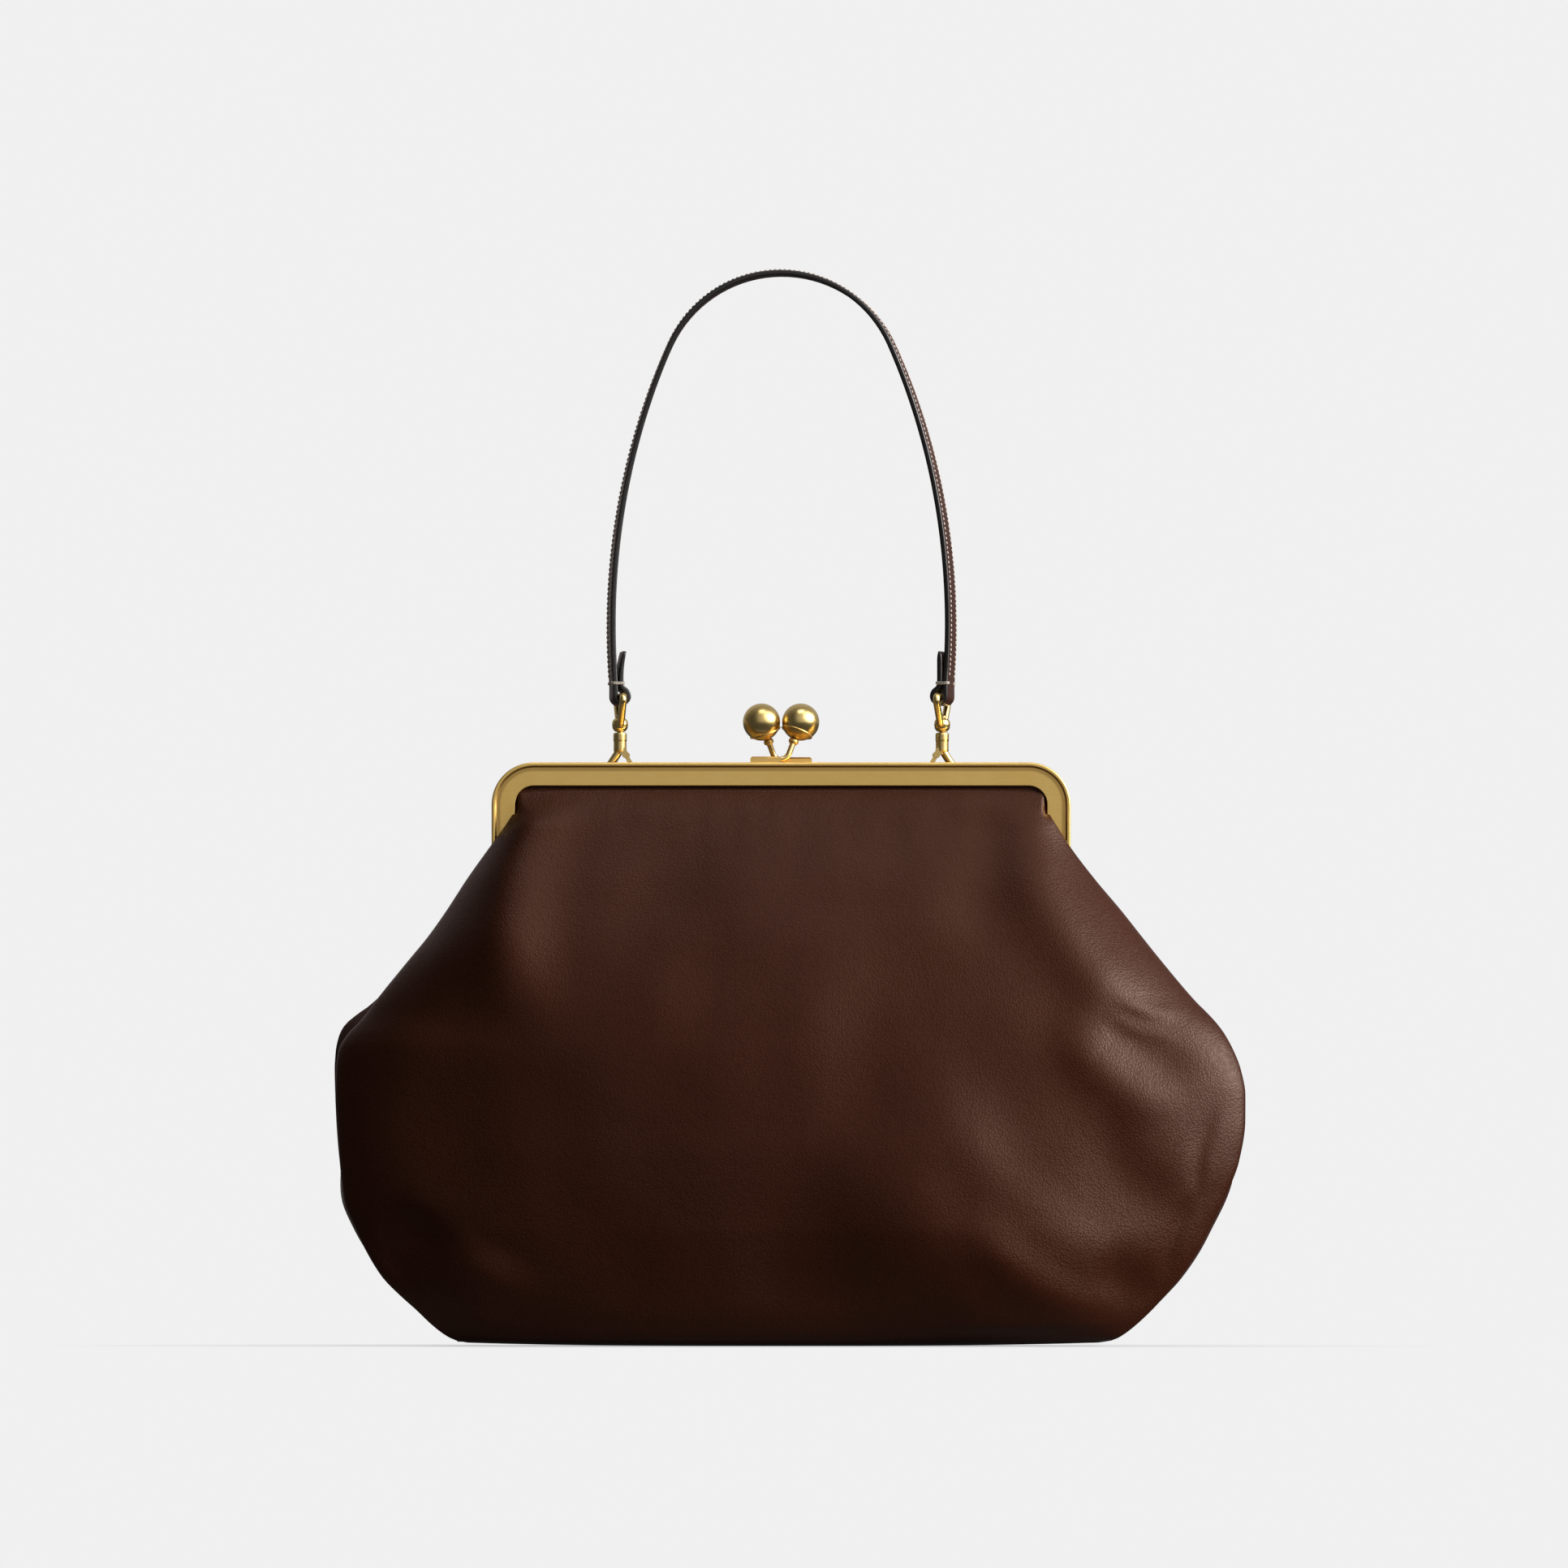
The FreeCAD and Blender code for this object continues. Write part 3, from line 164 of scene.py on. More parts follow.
# Ridges and hollows in the hide: (start x, start z, end x, end z, half width, height)
FRONT_FOLDS = [
    (-90, 228, -104, 126, 17, 7.0),
    (-112, 204, -129, 128, 14, 2.6),
    (-132, 112, -108, 48, 20, -1.2),
    (-105, 34, -122, 4, 14, 2.0),
    (-132, 48, -151, 24, 12, -3.0),
    (-27, 184, 24, 118, 40, 2.2),
    (86, 212, 76, 150, 14, -1.0),
    (92, 206, 138, 122, 15, 4.6),
    (104, 121, 149, 88, 10, 1.7),
    (120, 128, 156, 101, 9, -1.5),
    (126, 131, 152, 127, 2.2, 0.35),
    (127, 127, 154, 121, 2.2, -0.3),
    (124, 124, 150, 116, 2.2, 0.3),
    (28, 78, 118, 2, 30, 5.0),
    (56, 98, 136, 22, 13, 1.8),
    (118, 84, 152, 46, 12, -1.6),
    (70, 46, 130, 8, 10, 2.3),
    (120, 32, 146, 18, 9, -1.6),
    (164, 90, 157, 56, 3.5, -1.2),
    (157, 58, 145, 22, 3.5, -1.4),
]
REAR_FOLDS = [
    (-50, 160, -148, 104, 15, 2.4),
    (-66, 134, -150, 92, 13, -1.6),
    (95, 165, 120, 60, 14, 2.0),
    (70, 160, 82, 96, 12, -1.4),
    (-110, 80, -136, 10, 13, 2.0),
    (20, 150, -10, 60, 26, 1.4),
]


def smooth_table(levels, values):
    """A curve through the table that never overshoots it."""
    x = np.array(levels, float)
    y = np.array(values, float)
    step = np.diff(x)
    slope = np.diff(y) / step
    tangent = np.zeros_like(y)
    tangent[0] = slope[0]
    tangent[-1] = slope[-1]
    for i in range(1, len(y) - 1):
        if slope[i - 1] * slope[i] > 0:
            tangent[i] = 2 / (1 / slope[i - 1] + 1 / slope[i])

    def at(place):
        place = np.clip(np.asarray(place, float), x[0], x[-1])
        i = np.clip(np.searchsorted(x, place) - 1, 0, len(step) - 1)
        t = (place - x[i]) / step[i]
        rise = (2 * t**3 - 3 * t**2 + 1) * y[i] + (3 * t**2 - 2 * t**3) * y[i + 1]
        lean = (t**3 - 2 * t**2 + t) * tangent[i] + (t**3 - t**2) * tangent[i + 1]
        return rise + step[i] * lean

    return at


left_edge = smooth_table(BODY_LEVELS, LEFT_EDGE)
right_edge = smooth_table(BODY_LEVELS, RIGHT_EDGE)
rear_left_edge = smooth_table(BODY_LEVELS, REAR_LEFT_EDGE)
middle_depth = smooth_table(BODY_LEVELS, MIDDLE_DEPTH)
seam_depth = smooth_table(BODY_LEVELS, SEAM_DEPTH)
gusset_fold = smooth_table(GUSSET_LEVELS, GUSSET_FOLD)


def ease(value, low, high):
    """0 below low, 1 above high and a smooth step between."""
    t = np.clip((value - low) / (high - low), 0, 1)
    return t * t * (3 - 2 * t)


# Mesh helpers


def mesh_piece(name, points, faces, material, smooth=True):
    """A mesh object from points in millimetres."""
    mesh = bpy.data.meshes.new(name)
    mesh.from_pydata([tuple(p * MM for p in point) for point in points], [], faces)
    mesh.update()
    mesh.polygons.foreach_set("use_smooth", [smooth] * len(mesh.polygons))
    mesh.materials.append(material)
    piece = bpy.data.objects.new(name, mesh)
    bpy.context.scene.collection.objects.link(piece)
    return piece


def grid_faces(rows, columns, flip=False, wrap=False):
    """Quads over a grid of points stored row by row."""
    faces = []
    across = columns if wrap else columns - 1
    for i in range(rows - 1):
        for j in range(across):
            following = (j + 1) % columns
            quad = (
                i * columns + j,
                i * columns + following,
                (i + 1) * columns + following,
                (i + 1) * columns + j,
            )
            faces.append(quad[::-1] if flip else quad)
    return faces


def made_plain(piece):
    """Turns a piece's modifiers into its mesh."""
    bpy.context.view_layer.update()
    result = bpy.data.meshes.new_from_object(piece.evaluated_get(bpy.context.evaluated_depsgraph_get()))
    old = piece.data
    piece.modifiers.clear()
    piece.data = result
    bpy.data.meshes.remove(old)
    return piece


def thicken(piece, thickness):
    """Gives a sheet its thickness, on the inner side of its points."""
    wall = piece.modifiers.new("wall", "SOLIDIFY")
    wall.thickness = thickness * MM
    wall.offset = -1
    wall.use_even_offset = True
    wall.use_rim = True
    return made_plain(piece)


# Node helpers

VECTOR = "NodeSocketVector"
FLOAT = "NodeSocketFloat"
GEOMETRY = "NodeSocketGeometry"


def new_material(name):
    material = bpy.data.materials.new(name)
    material.use_nodes = True
    tree = material.node_tree
    return material, tree, tree.nodes["Principled BSDF"]


def fill(tree, node, values):
    """Fills a node's inputs by label or number. Each value is a constant or a socket."""
    for label, value in values.items():
        if isinstance(value, bpy.types.NodeSocket):
            tree.links.new(value, node.inputs[label])
        else:
            node.inputs[label].default_value = value


def add_node(tree, kind, values, **settings):
    """A new node with its settings made and its inputs filled."""
    node = tree.nodes.new(kind)
    for key, value in settings.items():
        setattr(node, key, value)
    fill(tree, node, values)
    return node


def maths(tree, operation, *values):
    """The result of a maths node. Each value is a number or a socket."""
    return add_node(tree, "ShaderNodeMath", dict(enumerate(values)), operation=operation).outputs["Value"]


def vector_maths(tree, operation, *values):
    """The outputs of a vector maths node, Vector and Value."""
    return add_node(tree, "ShaderNodeVectorMath", dict(enumerate(values)), operation=operation).outputs


def mix_colour(tree, factor, first, second):
    """A colour mix. Each end is a linear colour or a socket."""
    node = add_node(tree, "ShaderNodeMix", {"Factor": factor}, data_type="RGBA")
    for name, end in (("A", first), ("B", second)):
        socket = [s for s in node.inputs if s.name == name and s.type == "RGBA"][0]
        if isinstance(end, tuple):
            socket.default_value = (*end, 1.0)
        else:
            tree.links.new(end, socket)
    return [s for s in node.outputs if s.type == "RGBA"][0]


def span(tree, value, low, high, to_low=0.0, to_high=1.0, kind="LINEAR"):
    """Brings a value from one span to another, and holds it at the ends."""
    ends = {"From Min": low, "From Max": high, "To Min": to_low, "To Max": to_high}
    node = add_node(tree, "ShaderNodeMapRange", {"Value": value, **ends}, interpolation_type=kind)
    return node.outputs["Result"]


def noise_field(tree, place, scale, detail=4.0, roughness=0.55):
    values = {"Vector": place, "Scale": scale, "Detail": detail, "Roughness": roughness}
    return add_node(tree, "ShaderNodeTexNoise", values).outputs["Fac"]


def object_place(tree):
    return tree.nodes.new("ShaderNodeTexCoord").outputs["Object"]


def bump(tree, height, strength, distance, under=None):
    values = {"Height": height, "Strength": strength, "Distance": distance}
    if under is not None:
        values["Normal"] = under
    return add_node(tree, "ShaderNodeBump", values).outputs["Normal"]


def group_tree(name, inputs, outputs, kind="ShaderNodeTree"):
    """An empty group with the named inputs and outputs."""
    tree = bpy.data.node_groups.new(name, kind)
    for label, socket_kind, value in inputs:
        socket = tree.interface.new_socket(label, in_out="INPUT", socket_type=socket_kind)
        if value is not None:
            socket.default_value = value
    for label, socket_kind in outputs:
        tree.interface.new_socket(label, in_out="OUTPUT", socket_type=socket_kind)
    return tree, tree.nodes.new("NodeGroupInput").outputs, tree.nodes.new("NodeGroupOutput")


# Bump depths, and the size of the grain's wobble, in metres
CREASE_DEPTH = 0.002
GRAIN_DEPTH = 0.0004
GRAIN_WOBBLE = 0.0012
RUB_DEPTH = 0.0002
PIT_DEPTH = 0.0001
WEAVE_DEPTH = 0.0003
COAT_DEPTH = 0.0004
PLY_DEPTH = 0.0002
# The groove behind the frame's rim, from the outer edge, and how softly its painted dark line of shade
# comes and goes
GROOVE_START = 1.2
GROOVE_END = 3.7
GROOVE_SOFT_START = 0.4
GROOVE_SOFT_END = 0.8


def hide_grain_group():
    """Pebbled hide: rounded cells with creases between them, and the patches that vary its tone."""
    inputs = [("Place", VECTOR, None), ("Pebbles", FLOAT, 900.0), ("Patches", FLOAT, 18.0)]
    tree, given, result = group_tree("hide_grain", inputs, [("Height", FLOAT), ("Patch", FLOAT)])
    place = given["Place"]
    stretch = add_node(tree, "ShaderNodeTexNoise", {"Vector": place, "Scale": 240.0, "Detail": 2.0})
    wobble = (GRAIN_WOBBLE,) * 3
    shifted = vector_maths(tree, "MULTIPLY_ADD", stretch.outputs["Color"], wobble, place)["Vector"]
    layout = {"Vector": shifted, "Scale": given["Pebbles"]}
    cells = add_node(tree, "ShaderNodeTexVoronoi", {"Smoothness": 0.35, **layout}, feature="SMOOTH_F1")
    edges = add_node(tree, "ShaderNodeTexVoronoi", layout, feature="DISTANCE_TO_EDGE")
    crease = span(tree, edges.outputs["Distance"], 0.0, 0.16)
    dome = maths(tree, "SUBTRACT", 1.0, cells.outputs["Distance"])
    height = maths(tree, "MULTIPLY", dome, crease)
    spots = {"Vector": place, "Scale": given["Patches"], "Detail": 5.0}
    patches = add_node(tree, "ShaderNodeTexNoise", spots)
    fill(tree, result, {"Height": height, "Patch": patches.outputs["Fac"]})
    return tree


def tarnish_group():
    """Handled plating: cloudy tarnish, fine rubbing marks and small pits."""
    inputs = [("Place", VECTOR, None), ("Clouds", FLOAT, 60.0)]
    outputs = [("Cloud", FLOAT), ("Rub", FLOAT), ("Pit", FLOAT)]
    tree, given, result = group_tree("brass_tarnish", inputs, outputs)
    place = given["Place"]
    mist = {"Vector": place, "Scale": given["Clouds"], "Detail": 6.0}
    clouds = add_node(tree, "ShaderNodeTexNoise", mist)
    drawn_out = add_node(tree, "ShaderNodeMapping", {"Vector": place, "Scale": (1.0, 4.0, 14.0)})
    rub = noise_field(tree, drawn_out.outputs["Vector"], 260.0, 5.0, 0.7)
    pits = add_node(tree, "ShaderNodeTexVoronoi", {"Vector": place, "Scale": 900.0})
    pit = span(tree, pits.outputs["Distance"], 0.04, 0.16)
    fill(tree, result, {"Cloud": clouds.outputs["Fac"], "Rub": rub, "Pit": pit})
    return tree


def rim_groove_shade_group():
    """Painted shade: a dark line in the groove behind the frame's rim, by how far a place lies inside the
    outer edge.
    """
    inputs = [
        ("Place", VECTOR, None),
        ("Groove start", FLOAT, GROOVE_START * MM),
        ("Groove end", FLOAT, GROOVE_END * MM),
    ]
    tree, given, result = group_tree("rim_groove_painted_shade", inputs, [("Groove", FLOAT)])
    start, end = given["Groove start"], given["Groove end"]
    parts = add_node(tree, "ShaderNodeSeparateXYZ", {"Vector": given["Place"]}).outputs
    side = maths(tree, "ABSOLUTE", parts["X"])
    past_side = maths(tree, "SUBTRACT", side, (FRAME_HALF_WIDTH - FRAME_CORNER) * MM)
    past_top = maths(tree, "SUBTRACT", parts["Z"], (FRAME_TOP - FRAME_CORNER) * MM)
    past = {"X": maths(tree, "MAXIMUM", past_side, 0.0), "Z": maths(tree, "MAXIMUM", past_top, 0.0)}
    corner = add_node(tree, "ShaderNodeCombineXYZ", past).outputs["Vector"]
    inset = maths(tree, "SUBTRACT", FRAME_CORNER * MM, vector_maths(tree, "LENGTH", corner)["Value"])
    full = maths(tree, "ADD", start, GROOVE_SOFT_START * MM)
    fading = maths(tree, "SUBTRACT", end, GROOVE_SOFT_END * MM)
    rising = span(tree, inset, start, full, kind="SMOOTHSTEP")
    falling = span(tree, inset, fading, end, 1.0, 0.0, kind="SMOOTHSTEP")
    fill(tree, result, {"Groove": maths(tree, "MULTIPLY", rising, falling)})
    return tree


# The rim groove group paints shade into the frame's colour
HIDE_GRAIN = hide_grain_group()
TARNISH = tarnish_group()
RIM_GROOVE_SHADE = rim_groove_shade_group()


def placed_group(tree, group, **values):
    """The outputs of a group placed by the object's own points."""
    given = {"Place": object_place(tree), **values}
    return add_node(tree, "ShaderNodeGroup", given, node_tree=group).outputs


def leather_material(name, dark, body, worn, pebbles, relief, roughness):
    material, tree, shader = new_material(name)
    grain = placed_group(tree, HIDE_GRAIN, Pebbles=pebbles, Patches=16.0)
    tone = mix_colour(tree, span(tree, grain["Patch"], 0.32, 0.70), dark, body)
    tips = span(tree, grain["Height"], 0.45, 0.95, 0.0, 0.45)
    soft = noise_field(tree, object_place(tree), 55.0, 3.0)
    creased = bump(tree, soft, 0.10, CREASE_DEPTH)
    values = {
        "Base Color": mix_colour(tree, tips, tone, worn),
        "Roughness": span(tree, grain["Patch"], 0.3, 0.75, roughness + 0.08, roughness - 0.06),
        "Normal": bump(tree, grain["Height"], relief, GRAIN_DEPTH, creased),
        "Specular IOR Level": 0.22,
        "Specular Tint": (1.0, 0.74, 0.60, 1.0),
    }
    fill(tree, shader, values)
    return material


def brass_material(name, shade, body, bright, roughness, relief, groove_shade_colour=None):
    """Antique brass. A groove shade colour paints shade into the line behind the frame's rim."""
    material, tree, shader = new_material(name)
    marks = placed_group(tree, TARNISH, Clouds=70.0)
    tone = mix_colour(tree, span(tree, marks["Cloud"], 0.35, 0.72), shade, body)
    tone = mix_colour(tree, span(tree, marks["Rub"], 0.45, 0.75, 0.0, 0.5), tone, bright)
    if groove_shade_colour:
        # Painted shade: the groove behind the rim gets a darker colour where shade would fall
        tone = mix_colour(tree, placed_group(tree, RIM_GROOVE_SHADE)["Groove"], tone, groove_shade_colour)
    fine = bump(tree, marks["Rub"], relief, RUB_DEPTH)
    values = {
        "Base Color": tone,
        "Roughness": span(tree, marks["Cloud"], 0.3, 0.75, roughness + 0.06, roughness - 0.03),
        "Metallic": 1.0,
        "Normal": bump(tree, marks["Pit"], relief * 0.6, PIT_DEPTH, fine),
    }
    fill(tree, shader, values)
    return material


def cloth_material(name, dark, light, thread):
    """A twill: slanting ribs of thread with slubs."""
    material, tree, shader = new_material(name)
    place = object_place(tree)
    slant = {"Vector": place, "Rotation": (0.0, math.radians(45), 0.0)}
    slanted = add_node(tree, "ShaderNodeMapping", slant).outputs["Vector"]
    ribs = {"Vector": slanted, "Scale": thread, "Distortion": 1.2, "Detail Scale": 3.0}
    twill = add_node(tree, "ShaderNodeTexWave", ribs, bands_direction="X").outputs["Fac"]
    slubs = noise_field(tree, place, 420.0, 3.0)
    values = {
        "Base Color": mix_colour(tree, maths(tree, "MULTIPLY", twill, slubs), dark, light),
        "Roughness": span(tree, slubs, 0.3, 0.7, 0.9, 0.72),
        "Normal": bump(tree, twill, 0.35, WEAVE_DEPTH),
        "Sheen Weight": 0.25,
    }
    fill(tree, shader, values)
    return material


def edge_paint_material():
    """The strap's painted edge: nearly black, in uneven coats."""
    material, tree, shader = new_material("edge_paint")
    coats = noise_field(tree, object_place(tree), 180.0, 4.0)
    values = {
        "Base Color": mix_colour(tree, coats, (0.005, 0.004, 0.004), (0.016, 0.012, 0.010)),
        "Roughness": span(tree, coats, 0.3, 0.7, 0.42, 0.30),
        "Normal": bump(tree, coats, 0.2, COAT_DEPTH),
    }
    fill(tree, shader, values)
    return material


def thread_material(name, dark, light):
    """Waxed thread, with the twist of its plies."""
    material, tree, shader = new_material(name)
    plies = {"Vector": object_place(tree), "Scale": 900.0}
    twist = add_node(tree, "ShaderNodeTexWave", plies, bands_direction="DIAGONAL").outputs["Fac"]
    values = {
        "Base Color": mix_colour(tree, twist, dark, light),
        "Roughness": span(tree, twist, 0.0, 1.0, 0.7, 0.5),
        "Normal": bump(tree, twist, 0.4, PLY_DEPTH),
    }
    fill(tree, shader, values)
    return material


BODY_HIDE = leather_material(
    "body_hide",
    dark=(0.032, 0.0062, 0.0015),
    body=(0.039, 0.0081, 0.0022),
    worn=(0.055, 0.0142, 0.0054),
    pebbles=950.0,
    relief=0.20,
    roughness=0.40,
)
STRAP_HIDE = leather_material(
    "strap_hide",
    dark=(0.026, 0.0065, 0.0035),
    body=(0.044, 0.013, 0.007),
    worn=(0.066, 0.024, 0.015),
    pebbles=1100.0,
    relief=0.18,
    roughness=0.42,
)
EDGE_PAINT = edge_paint_material()
FRAME_BRASS = brass_material(
    "frame_brass",
    shade=(0.88, 0.57, 0.17),
    body=(0.97, 0.65, 0.21),
    bright=(0.99, 0.73, 0.28),
    roughness=0.33,
    relief=0.03,
    # A darker colour painted in the groove behind the rim, as shade
    groove_shade_colour=(0.60, 0.37, 0.11),
)
POLISHED_BRASS = brass_material(
    "polished_brass",
    shade=(0.66, 0.47, 0.17),
    body=(0.80, 0.59, 0.24),
    bright=(0.92, 0.71, 0.33),
    roughness=0.25,
    relief=0.02,
)
SATIN_BRASS = brass_material(
    "satin_brass",
    shade=(0.62, 0.40, 0.12),
    body=(0.80, 0.55, 0.19),
    bright=(0.92, 0.69, 0.29),
    roughness=0.36,
    relief=0.02,
)
STEEL = brass_material(
    "spring_steel",
    shade=(0.30, 0.30, 0.31),
    body=(0.46, 0.46, 0.47),
    bright=(0.6, 0.6, 0.61),
    roughness=0.30,
    relief=0.05,
)
LINING_CLOTH = cloth_material("lining_cloth", (0.16, 0.10, 0.06), (0.36, 0.26, 0.16), 320.0)
BOARD = cloth_material("fibre_board", (0.15, 0.12, 0.08), (0.26, 0.21, 0.15), 90.0)
PAPER = cloth_material("paper_cord", (0.36, 0.28, 0.17), (0.58, 0.48, 0.32), 700.0)
STRAP_THREAD = thread_material("strap_thread", (0.50, 0.38, 0.31), (0.80, 0.68, 0.60))
PALE_THREAD = thread_material("pale_thread", (0.42, 0.36, 0.30), (0.72, 0.66, 0.58))


# The leather body


def fold_height(folds, x, z):
    """The summed height of the ridges and hollows at points of a panel."""
    total = np.zeros_like(x)
    for x0, z0, x1, z1, half_width, height in folds:
        run = np.array([x1 - x0, z1 - z0], float)
        length = np.hypot(*run)
        run /= length
        along = ((x - x0) * run[0] + (z - z0) * run[1]) / length
        across = (x - x0) * -run[1] + (z - z0) * run[0]
        across = across + FOLD_BOW * length * np.sin(math.pi * np.clip(along, 0, 1))
        fade = ease(along, *FOLD_COMES) * (1 - ease(along, *FOLD_GOES))
        total += height * fade * np.exp(-((across / half_width) ** 2))
    return total


def hide_unevenness(x, z, seed):
    """Slow waves in the hide, and gathers that fade out below the frame."""
    waves = np.zeros_like(x)
    gathers = np.zeros_like(x)
    flat_x, flat_z = x.ravel(), z.ravel()
    flat_waves, flat_gathers = waves.ravel(), gathers.ravel()
    for i in range(len(flat_x)):
        slow = Vector((flat_x[i] / WAVE_CELL[0], flat_z[i] / WAVE_CELL[1], seed))
        flat_waves[i] = noise.noise(slow) + FINE_WAVE_SHARE * noise.noise(slow * FINE_WAVE_SCALE)
        close = Vector((flat_x[i] / GATHER_CELL[0], flat_z[i] / GATHER_CELL[1], seed + GATHER_SEED))
        flat_gathers[i] = noise.noise(close)
    slow_waves = WAVE_HEIGHT * waves * ease(z, *WAVES_COME) * (1 - ease(z, *WAVES_GO))
    near_frame = ease(z, *GATHERS_COME) * (1 - ease(z, *GATHERS_GO))
    return slow_waves + GATHER_HEIGHT * gathers * near_frame


def sag(x, z):
    """How far the bottom stands off the ground: nothing in the middle and most at the two ends."""
    outward = np.minimum(np.abs(x) / left_edge(0.0), 1)
    return BASE_SAG * outward**SAG_POWER * (1 - ease(z, 0, SAG_FADE))


def height_at(x, z, inset):
    """The heights of a layer's points at their levels."""
    return np.maximum(z + inset * (1 - ease(z, 0, INSET_FADE)), LEAST_HEIGHT) + sag(x, z)


def foot_levels():
    return np.linspace(0, FOOT_LEVEL, FOOT_ROWS + 1)[:-1]


def panel_levels(rows):
    """Levels from the base into the frame's channel, closer together where the hide turns in."""
    between = np.linspace(FOOT_LEVEL, HEAD_LEVEL, rows - FOOT_ROWS - HEAD_ROWS)
    head = np.linspace(HEAD_LEVEL, CHANNEL_LEVEL, HEAD_ROWS + 1)[1:]
    return np.concatenate([foot_levels(), between, head])


def panel_grid(facing, inset, rows, columns):
    """Points of the front (-1) or rear (+1) panel, row by row from the base into the channel."""
    level = panel_levels(rows)
    share = np.linspace(-1, 1, columns)
    share = np.sign(share) * (1 - (1 - np.abs(share)) ** SEAM_CROWDING)
    z, s = np.meshgrid(level, share, indexing="ij")
    left = left_edge(z) if facing < 0 else rear_left_edge(z)
    aside = inset * LINING_SIDE_SHARE
    x = np.where(s < 0, s * (left - aside), s * (right_edge(z) - aside))
    seam = seam_depth(z) - inset * SEAM_INSET_SHARE
    middle = np.maximum(middle_depth(z) - inset, seam)
    rounding = ROUNDING + NECK_ROUNDING * ease(z, *NECK_COMES)
    crown = np.clip(1 - np.abs(s) ** rounding, 0, 1) ** SQUARENESS
    y = seam + (middle - seam) * crown
    folds = FRONT_FOLDS if facing < 0 else REAR_FOLDS
    calm = ease(z, 0, FOOT_LEVEL) * (1 - ease(z, *FOLDS_GO)) * (1 - np.abs(s) ** FOLD_EDGE_POWER)
    waves = hide_unevenness(x, z, PANEL_SEED + facing) * (1 - np.abs(s) ** WAVE_EDGE_POWER)
    y = y + fold_height(folds, x, z) * calm + waves
    tucked = ease(np.abs(x), FRAME_INSIDE - TUCK_WIDTH, FRAME_INSIDE) * ease(z, *TUCK_COMES)
    y = y + (np.minimum(y, CHANNEL_DEPTH - inset) - y) * tucked
    return np.stack([x, facing * y, height_at(x, z, inset)], axis=-1).reshape(-1, 3)


def body_panel(name, facing, inset, grid, thickness, material):
    points = panel_grid(facing, inset, *grid)
    piece = mesh_piece(name, points, grid_faces(*grid, flip=facing > 0), material)
    return thicken(piece, thickness)


def gusset(name, side, top, inset, grid, thickness, material):
    """The side between the two seams, folded in above its middle."""
    rows, columns = grid
    level = np.concatenate([foot_levels(), np.linspace(FOOT_LEVEL, top, rows - FOOT_ROWS)])
    z, t = np.meshgrid(level, np.linspace(-1, 1, columns), indexing="ij")
    if side < 0:
        front, rear = left_edge(z), rear_left_edge(z)
    else:
        front = rear = right_edge(z)
    edge = front + (rear - front) * (t + 1) / 2 - inset
    tuck = gusset_fold(z) * (1 - np.abs(t) ** GUSSET_FOLD_POWER)
    unevenness = hide_unevenness(t * GUSSET_REACH, z, GUSSET_SEED + side)
    wave = unevenness * GUSSET_WAVES * (1 - t**GUSSET_EDGE_POWER)
    x = edge - tuck + wave
    y = t * (seam_depth(z) - GUSSET_SEAM_INSET)
    points = np.stack([side * x, y, height_at(x, z, inset)], axis=-1).reshape(-1, 3)
    piece = mesh_piece(name, points, grid_faces(rows, columns, flip=side < 0), material)
    return thicken(piece, thickness)


def base_sheet(name, level, inset, thickness, material):
    """The bottom, with the outline of the panels' lowest edge."""
    rows, columns = BASE_GRID
    u, w = np.meshgrid(np.linspace(-1, 1, columns), np.linspace(-1, 1, rows), indexing="xy")
    half = np.where(u < 0, left_edge(0.0), right_edge(0.0)) - inset
    crown = np.clip(1 - np.abs(u) ** ROUNDING, 0, 1) ** SQUARENESS
    depth = seam_depth(0.0) + (middle_depth(0.0) - seam_depth(0.0)) * crown - inset
    points = np.stack([u * half, w * depth, level + sag(u * half, 0.0)], axis=-1).reshape(-1, 3)
    piece = mesh_piece(name, points, grid_faces(rows, columns), material)
    return thicken(piece, thickness)


def leather_body():
    for name, facing, body in (("front", -1, "front_frame"), ("rear", 1, "rear_frame")):
        hide = body_panel(f"{name}_hide", facing, 0.0, PANEL_GRID, LEATHER, BODY_HIDE)
        inner = (LINING_INSET, PANEL_LINING_GRID)
        cloth = body_panel(f"{name}_lining", facing, *inner, LINING, LINING_CLOTH)
        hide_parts(f"{name}_panel", f"{name}_panel_top")
        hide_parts(f"{name}_lining_top")
        for piece, slot in ((hide, "body_leather"), (cloth, "lining_cloth")):
            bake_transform(piece)
    sides = []
    for name, side in (("left", -1), ("right", 1)):
        outer = (GUSSET_TOP, GUSSET_INSET, GUSSET_GRID)
        hide = gusset(f"{name}_gusset_hide", side, *outer, LEATHER, BODY_HIDE)
        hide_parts(f"{name}_gusset")
        inner = (GUSSET_LINING_TOP, LINING_INSET + GUSSET_INSET, GUSSET_LINING_GRID)
        cloth = gusset(f"{name}_gusset_lining", side, *inner, LINING, LINING_CLOTH)
        sides.append((hide, "body_leather"))
        sides.append((cloth, "lining_cloth"))
    hide = base_sheet("base_hide", LEATHER + BASE_GAP, BASE_INSET, LEATHER, BODY_HIDE)
    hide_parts("base_panel")
    cloth = base_sheet("base_lining", BASE_LINING_LEVEL, BASE_LINING_INSET, LINING, LINING_CLOTH)
    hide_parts("lining_bag")
    for piece, slot in sides + [(hide, "body_leather"), (cloth, "lining_cloth")]:
        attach(piece, "bag")


# The strap, on the same line as its solid

